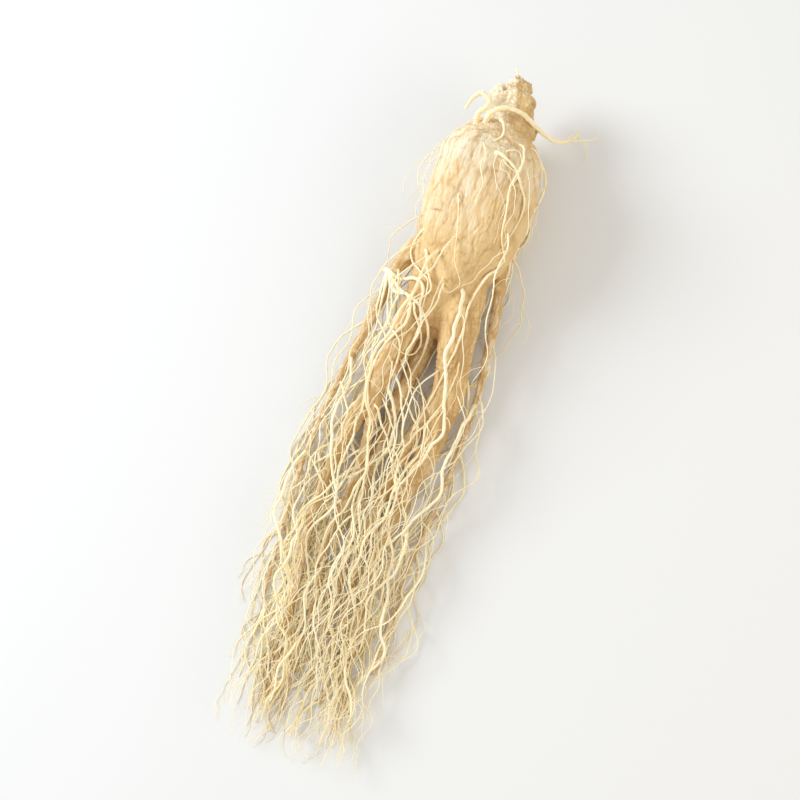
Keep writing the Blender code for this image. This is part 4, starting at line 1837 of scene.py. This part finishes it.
@dataclass
class CrownRoots:
    """The thick roots that spring from the crown and the neck's tip, and their branches.

    Attributes:
        plan: where the crown is.
        steps, side_count: how fine a root is.
        seed: the first noise's seed; the others follow it.
        apart: how far apart the roots' parts of the noise lie.
        step_length, girth: how far the noise's coordinates go along a step, and round the root.
        wrinkle, ring, swell: how strong the wrinkles, rings and swells are, as shares of radius.
        wrinkle_cell, ring_cell, swell_cell: the sizes of their cells.
        tip_tan: how tan the tips are.
    """

    plan: RootPlan
    steps: int = 200
    side_count: int = 18
    seed: int = 91
    apart: float = 9.0
    step_length: float = 0.2
    girth: float = 1.3
    wrinkle: float = 0.20
    ring: float = 0.09
    swell: float = 0.20
    wrinkle_cell: Wave = (2.6, 0.7, 0.7)
    ring_cell: Wave = (0.7, 4.0, 4.0)
    swell_cell: Wave = (1.5, 3.0, 3.0)
    tip_tan: float = 0.4

    def build(self) -> bpy.types.Object:
        """Carries a ring along each route, its radius wrinkled by puffed cells and rings.

        The noises read the distance along, and the two coordinates across.

        Returns:
            The piece, which keeps how tan each point is, with painted shade in its hollows.
        """
        routes = np.stack(self.plan.crown_routes(self.steps))
        angle = angles(self.side_count)
        number, step = np.arange(len(routes)), np.arange(self.steps)
        along = number[:, None, None] * self.apart + step[:, None] * self.step_length
        y, z = self.girth * np.cos(angle), self.girth * np.sin(angle)
        where = np.stack(np.broadcast_arrays(along, y, z), axis=-1).reshape(-1, 3)
        wrinkles = 1 - Welts(self.seed)(where / self.wrinkle_cell)
        swells = Waves(self.seed + 1)(where / self.swell_cell)
        rings = Waves(self.seed + 2).lines(where / self.ring_cell, 6.0)
        rise = self.swell * swells - self.wrinkle * wrinkles - self.ring * rings
        radii = routes[:, :, 3:] * (1 + rise.reshape(len(routes), self.steps, -1))
        mesh = tubes(routes[:, :, :3], radii, self.side_count).mesh("crown_roots")
        tips = np.full(2 * len(routes), self.tip_tan)
        # Painted shade: the roots are tanner in the hollows of their wrinkles and rings.
        keep_trait(mesh, Trait.TAN, np.concatenate((0.05 + 0.5 * wrinkles + 0.3 * rings, tips)))
        return bpy.data.objects.new("crown_roots", mesh)


@dataclass(frozen=True)
class Wiring:
    """Adds nodes to a tree and joins them."""

    tree: bpy.types.NodeTree

    def add(self, kind: str, **settings: object) -> bpy.types.Node:
        """Adds a node.

        Args:
            kind: the node's type.
            settings: properties to set on it.

        Returns:
            The node.
        """
        node = self.tree.nodes.new(kind)
        for name, value in settings.items():
            setattr(node, name, value)
        return node

    def feed(self, targets: Sequence[bpy.types.NodeSocket], sources: Sequence[object]) -> None:
        """Feeds inputs in turn, each by a link from a socket or by a value.

        Args:
            targets: the inputs.
            sources: sockets or values, one for each input.
        """
        for target, source in zip(targets, sources):
            if isinstance(source, bpy.types.NodeSocket):
                self.tree.links.new(source, target)
            else:
                target.default_value = source

    def feed_named(self, node: bpy.types.Node, sources: dict[str, object]) -> None:
        """Feeds a node's inputs by their names."""
        self.feed([node.inputs[name] for name in sources], list(sources.values()))

    def math(self, operation: str, *values: object) -> bpy.types.NodeSocket:
        """The result of a Math node.

        Args:
            operation: which operation it does.
            values: its sockets or numbers.

        Returns:
            The result's socket.
        """
        node = self.add("ShaderNodeMath", operation=operation)
        self.feed(node.inputs, values)
        return node.outputs[0]

    def weighted(self, *terms: tuple[object, float]) -> bpy.types.NodeSocket:
        """The sum of values, each times its weight.

        Args:
            terms: pairs of a socket and its weight; a pair whose weight is 1 isn't multiplied.

        Returns:
            The sum's socket.
        """
        parts = [one if by == 1 else self.math("MULTIPLY", one, by) for one, by in terms]
        total = parts[0]
        for part in parts[1:]:
            total = self.math("ADD", total, part)
        return total

    def noise(self, where: object, scale: float, detail: float) -> bpy.types.NodeSocket:
        """A noise texture's value, from 0 to 1.

        Args:
            where: coordinates.
            scale: how many cells a metre holds.
            detail: how many octaves there are.

        Returns:
            The value's socket.
        """
        node = self.add("ShaderNodeTexNoise")
        self.feed_named(node, {"Vector": where, "Scale": scale, "Detail": detail})
        return node.outputs["Fac"]

    def stretched(self, where: object, scale: Sequence[float]) -> bpy.types.NodeSocket:
        """Multiplies coordinates axis by axis.

        Args:
            where: coordinates.
            scale: a number for each axis.

        Returns:
            The new coordinates' socket.
        """
        node = self.add("ShaderNodeVectorMath", operation="MULTIPLY")
        self.feed(node.inputs, (where, scale))
        return node.outputs[0]

    def ramp(self, value: object, low: float, high: float) -> bpy.types.NodeSocket:
        """0 below low, 1 above high, smooth between.

        Args:
            value: a socket.
            low, high: where the ramp begins and ends.

        Returns:
            The result's socket.
        """
        node = self.add("ShaderNodeMapRange", interpolation_type="SMOOTHSTEP")
        self.feed_named(node, {"Value": value, "From Min": low, "From Max": high})
        return node.outputs["Result"]

    def mix(self, share: object, one: object, other: object) -> bpy.types.NodeSocket:
        """A colour between two.

        Args:
            share: how much of the other there is.
            one, other: the two colours.

        Returns:
            The mixed colour's socket.
        """
        node = self.add("ShaderNodeMix", data_type="RGBA")
        self.feed([node.inputs[place] for place in COLOUR_MIX_INPUTS], (share, one, other))
        return node.outputs[COLOUR_MIX_OUTPUT]


def new_group(name: str, inputs: dict[str, str], outputs: dict[str, str]) -> bpy.types.NodeTree:
    """An empty shader group with named sockets.

    Args:
        name: the group's name.
        inputs: socket names and types.
        outputs: socket names and types.

    Returns:
        The group.
    """
    group = bpy.data.node_groups.new(name, "ShaderNodeTree")
    for sockets, way in ((inputs, "INPUT"), (outputs, "OUTPUT")):
        for socket, kind in sockets.items():
            group.interface.new_socket(name=socket, in_out=way, socket_type=kind)
    return group


@dataclass(frozen=True)
class SkinTints:
    """The group that all skins share: cream flesh that tans, painted shade in creases, marks and grain.

    Attributes:
        name: the group's name.
        patch, mottle, streak, fleck: scale and detail of each noise.
        streak_stretch, fleck_stretch: how the coordinates of two of them are drawn out.
        flecks, tans, creases: from which to which value each ramp rises.
        patch_tan, streak_tan, paler: how patches and streaks tan the skin, and by how much the
            sum is lowered.
        mottle_crease, fleck_mark: how much mottles add to the painted crease shade, and how dark flecks
            are.
        plain_roughness, mottle_roughness, crease_roughness: what the roughness adds up from.
        streak_grain: the streaks' share of the grain; the mottles have the rest.
    """

    name: str = "root_skin_tints"
    patch: Span = (85.0, 3.0)
    mottle: Span = (520.0, 4.0)
    streak: Span = (900.0, 3.0)
    fleck: Span = (640.0, 1.0)
    streak_stretch: Wave = (0.16, 1.0, 1.0)
    fleck_stretch: Wave = (0.5, 1.0, 1.0)
    flecks: Span = (0.70, 0.76)
    tans: Span = (0.2, 1.4)
    creases: Span = (0.08, 0.95)
    patch_tan: float = 0.9
    streak_tan: float = 1.35
    paler: float = 0.68
    mottle_crease: float = 0.24
    fleck_mark: float = 0.35
    plain_roughness: float = 0.5
    mottle_roughness: float = 0.25
    crease_roughness: float = 0.2
    streak_grain: float = 0.7

    def group(self) -> bpy.types.NodeTree:
        """Wires the group, unless it is there already.

        Returns:
            The group.
        """
        if self.name in bpy.data.node_groups:
            return bpy.data.node_groups[self.name]
        colours = dict.fromkeys(("Cream", "Tanned", "Painted Crease Shade", "Mark Colour"), COLOUR_KIND)
        numbers = dict.fromkeys(("Fineness", "Crease", "Mark", "Tan"), NUMBER_KIND)
        group = new_group(
            self.name,
            {"Position": "NodeSocketVector", **colours, **numbers},
            {"Colour": COLOUR_KIND, "Roughness": NUMBER_KIND, "Grain": NUMBER_KIND},
        )
        wiring = Wiring(group)
        given = wiring.add("NodeGroupInput").outputs
        scaled = wiring.add("ShaderNodeVectorMath", operation="SCALE")
        wiring.feed_named(scaled, {"Vector": given["Position"], "Scale": given["Fineness"]})
        place = scaled.outputs[0]
        patch = wiring.noise(place, *self.patch)
        mottle = wiring.noise(place, *self.mottle)
        streak = wiring.noise(wiring.stretched(place, self.streak_stretch), *self.streak)
        flecks = wiring.noise(wiring.stretched(place, self.fleck_stretch), *self.fleck)
        uneven = wiring.math("SUBTRACT", wiring.math("MULTIPLY", patch, self.patch_tan), self.paler)
        tan = wiring.weighted((given["Tan"], 1), (uneven, 1), (streak, self.streak_tan))
        crease = wiring.weighted((given["Crease"], 1), (mottle, self.mottle_crease))
        fleck = wiring.math("MULTIPLY", wiring.ramp(flecks, *self.flecks), self.fleck_mark)
        mark = wiring.math("MAXIMUM", given["Mark"], fleck)
        skin = wiring.mix(wiring.ramp(tan, *self.tans), given["Cream"], given["Tanned"])
        # Painted shade: creases are darkened towards the crease colour.
        skin = wiring.mix(wiring.ramp(crease, *self.creases), skin, given["Painted Crease Shade"])
        skin = wiring.mix(mark, skin, given["Mark Colour"])
        uneven_roughness = wiring.math(
            "ADD", wiring.math("MULTIPLY", mottle, self.mottle_roughness), self.plain_roughness
        )
        roughness = wiring.weighted((uneven_roughness, 1), (given["Crease"], self.crease_roughness))
        grain = wiring.weighted((streak, self.streak_grain), (mottle, 1 - self.streak_grain))
        result = {"Colour": skin, "Roughness": roughness, "Grain": grain}
        wiring.feed_named(wiring.add("NodeGroupOutput"), result)
        return group


@dataclass(frozen=True)
class SkinFinish:
    """Dry root skin: cream where plump, tan where thin or bruised, and darker where shade is painted.

    Attributes:
        name: the material's name.
        cream, tanned, crease, mark: its colours; crease is the painted shade in the creases.
        traits: which numbers its pieces keep.
        fineness: how many times finer than the body's its patterns are.
        depth, scatter, scatter_size: how much light scatters in it, by colour, and how far.
        shine: how strongly it mirrors.
        wax, wax_roughness: how strong a coat it has, and how dull.
        bump: how high the grain stands, in metres.
    """

    name: str = "cream_root_skin"
    cream: Colour = (0.88, 0.81, 0.64, 1.0)
    tanned: Colour = (0.79, 0.57, 0.28, 1.0)
    # The colour of the painted shade in the creases.
    crease: Colour = (0.60, 0.39, 0.17, 1.0)
    mark: Colour = (0.42, 0.24, 0.10, 1.0)
    traits: tuple[Trait, ...] = (Trait.CREASE, Trait.SCAR, Trait.TAN)
    fineness: float = 1.0
    depth: float = 0.08
    scatter: Wave = (1.0, 0.6, 0.3)
    scatter_size: float = 0.0015
    shine: float = 0.4
    wax: float = 0.06
    wax_roughness: float = 0.5
    bump: float = 0.00045

    def material(self) -> bpy.types.Material:
        """Wires the shared group to a Principled shader.

        Returns:
            The material.
        """
        made = bpy.data.materials.new(self.name)
        made.use_nodes = True
        wiring = Wiring(made.node_tree)
        skin = wiring.add("ShaderNodeGroup", node_tree=SkinTints().group())
        given = {
            "Position": wiring.add("ShaderNodeTexCoord").outputs["Object"],
            "Fineness": self.fineness,
            "Cream": self.cream,
            "Tanned": self.tanned,
            "Painted Crease Shade": self.crease,
            "Mark Colour": self.mark,
        }
        for trait, socket in zip(Trait, ("Crease", "Mark", "Tan")):
            if trait in self.traits:
                kept = wiring.add("ShaderNodeAttribute", attribute_name=trait.value)
                given[socket] = kept.outputs["Fac"]
        wiring.feed_named(skin, given)
        bump = wiring.add("ShaderNodeBump")
        grain = {"Strength": 1.0, "Distance": self.bump, "Height": skin.outputs["Grain"]}
        wiring.feed_named(bump, grain)
        shading = {
            "Base Color": skin.outputs["Colour"],
            "Roughness": skin.outputs["Roughness"],
            "Normal": bump.outputs["Normal"],
            "Subsurface Weight": self.depth,
            "Subsurface Radius": self.scatter,
            "Subsurface Scale": self.scatter_size,
            "Specular IOR Level": self.shine,
            "Coat Weight": self.wax,
            "Coat Roughness": self.wax_roughness,
        }
        wiring.feed_named(made.node_tree.nodes["Principled BSDF"], shading)
        return made


NECK_FINISH = SkinFinish(
    name="neck_skin",
    cream=(0.97, 0.91, 0.74, 1.0),
    tanned=(0.68, 0.51, 0.28, 1.0),
    # The colour of the neck's painted crease shade.
    crease=(0.62, 0.43, 0.20, 1.0),
    mark=(0.48, 0.30, 0.13, 1.0),
)
ROOTLET_FINISH = SkinFinish(
    name="rootlet_skin",
    cream=(1.0, 0.93, 0.70, 1.0),
    tanned=(0.97, 0.78, 0.45, 1.0),
    traits=(Trait.TAN,),
    fineness=2.6,
    depth=0.15,
    bump=0.00014,
)


@dataclass(frozen=True)
class Table:
    """A plain pale floor: half its side in millimetres, its colour and its roughness."""

    half_side: float = 4000.0
    tint: Colour = (0.78, 0.80, 0.83, 1.0)
    roughness: float = 0.9

    def build(self) -> bpy.types.Object:
        """One flat face at the root's resting height.

        Returns:
            The floor.
        """
        ways = np.array(((-1, -1, 0), (1, -1, 0), (1, 1, 0), (-1, 1, 0)), float)
        quad = np.array(((0, 1, 2, 3),))
        mesh = Surface(ways * self.half_side, quad, np.empty((0, 3), int)).mesh("table")
        finish = bpy.data.materials.new("table_white")
        finish.use_nodes = True
        shading = {"Base Color": self.tint, "Roughness": self.roughness}
        Wiring(finish.node_tree).feed_named(finish.node_tree.nodes["Principled BSDF"], shading)
        mesh.materials.append(finish)
        return bpy.data.objects.new("table", mesh)


@dataclass(frozen=True)
class Lamp:
    """A square soft light.

    Attributes:
        name: its name.
        place: to the picture's right, up, and height, in metres.
        size: its side in metres.
        power: its watts.
        tint: its colour.
    """

    name: str
    place: Wave
    size: float
    power: float
    tint: Wave


@dataclass(frozen=True)
class Studio:
    """Soft light from the picture's upper left, and a camera almost straight above.

    Attributes:
        lean: how far the root's head leans to the right of the picture's upright, in degrees.
        elevation: the camera's height above the horizon, in degrees.
        distance: from camera to target, in metres.
        span: the width that the picture shows at the target, in metres.
        target: what the camera and the lamps look at, in metres.
        sensor, nearest: the camera's sensor in millimetres, and the nearest it sees in metres.
        sky, sky_strength: the even light that comes from everywhere.
        lamps: the two lights.
    """

    lean: float = 19.5
    elevation: float = 80.0
    distance: float = 0.70
    span: float = 0.285
    target: Wave = (-0.001, 0.0, 0.012)
    sensor: float = 36.0
    nearest: float = 0.01
    sky: Colour = (1.0, 0.965, 0.91, 1.0)
    sky_strength: float = 0.71
    lamps: tuple[Lamp, ...] = (
        Lamp("key", (-0.80, 0.30, 0.52), 0.40, 7.8, (0.92, 0.97, 1.0)),
        Lamp("fill", (0.70, -0.25, 0.45), 0.7, 2.2, (1.0, 0.86, 0.62)),
    )

    def picture_axes(self) -> tuple[Vector, Vector]:
        """The directions on the table that the picture shows as right and up.

        Returns:
            Two unit vectors.
        """
        lean = math.radians(self.lean)
        up = Vector((math.cos(lean), math.sin(lean), 0.0))
        return Vector((up.y, -up.x, 0.0)), up

    def camera(self) -> bpy.types.Object:
        """Looks down at the root from slightly below the picture's middle.

        Returns:
            The camera.
        """
        _, up = self.picture_axes()
        lift = math.radians(self.elevation)
        back = -up * math.cos(lift) + Vector((0.0, 0.0, math.sin(lift)))
        lens = bpy.data.cameras.new("camera")
        lens.sensor_width = self.sensor
        lens.lens = self.sensor * self.distance / self.span
        lens.clip_start = self.nearest
        made = bpy.data.objects.new("camera", lens)
        made.location = Vector(self.target) + back * self.distance
        made.rotation_euler = (-back).to_track_quat("-Z", "Y").to_euler()
        return made

    def light(self, lamp: Lamp) -> bpy.types.Object:
        """Puts a lamp into place, aimed at the root.

        Args:
            lamp: what to make.

        Returns:
            The light.
        """
        to_right, to_up = self.picture_axes()
        right, up, height = lamp.place
        area = bpy.data.lights.new(lamp.name, "AREA")
        area.shape = "SQUARE"
        area.size = lamp.size
        area.energy = lamp.power
        area.color = lamp.tint
        made = bpy.data.objects.new(lamp.name, area)
        made.location = to_right * right + to_up * up + Vector((0.0, 0.0, height))
        aim = Vector(self.target) - made.location
        made.rotation_euler = aim.to_track_quat("-Z", "Y").to_euler()
        return made

    def build(self) -> list[bpy.types.Object]:
        """Sets the world's even light.

        Returns:
            The camera and the lights.
        """
        world = bpy.data.worlds.new("studio")
        world.use_nodes = True
        sky = {"Color": self.sky, "Strength": self.sky_strength}
        Wiring(world.node_tree).feed_named(world.node_tree.nodes["Background"], sky)
        bpy.context.scene.world = world
        bpy.context.scene.view_settings.view_transform = "Standard"
        return [self.camera(), *(self.light(lamp) for lamp in self.lamps)]


def link(piece: bpy.types.Object) -> bpy.types.Object:
    """Puts an object into the scene."""
    bpy.context.scene.collection.objects.link(piece)
    return piece


def dress(piece: bpy.types.Object, material: bpy.types.Material) -> None:
    """Gives a piece its finish, lets it stand for the solid and reports it.

    Args:
        piece: an object that isn't in the scene yet.
        material: its finish.
    """
    link(piece)
    piece.data.materials.append(material)
    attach(piece, "root")
    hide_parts(NODE)
    LOG.info("%s: %d faces", piece.name, len(piece.data.polygons))


def corners() -> list[list[float]]:
    """The shown object's lowest and highest corners, as plain lists."""
    return [[float(value) for value in corner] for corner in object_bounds()]


def main() -> None:
    """Loads the frame, builds the root piece by piece, and sets up the studio."""
    logging.basicConfig(level=logging.INFO, format="%(message)s")
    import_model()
    for thing in Studio().build():
        link(thing)
        if thing.type == "CAMERA":
            bpy.context.scene.camera = thing
    table = link(Table().build())
    table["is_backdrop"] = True

    plan = RootPlan()
    flesh = Flesh(plan)
    skin = SkinFinish().material()
    dress(flesh.build(), skin)
    dress(ThinEnds(plan, flesh).build(), skin)
    dress(Neck(plan).build(), NECK_FINISH.material())
    rootlet_skin = ROOTLET_FINISH.material()
    dress(CrownRoots(plan).build(), rootlet_skin)
    dress(Strands(plan).build(), rootlet_skin)
    for piece in Rootlets(plan).build():
        dress(piece, rootlet_skin)

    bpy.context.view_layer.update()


if __name__ == "__main__":
    main()
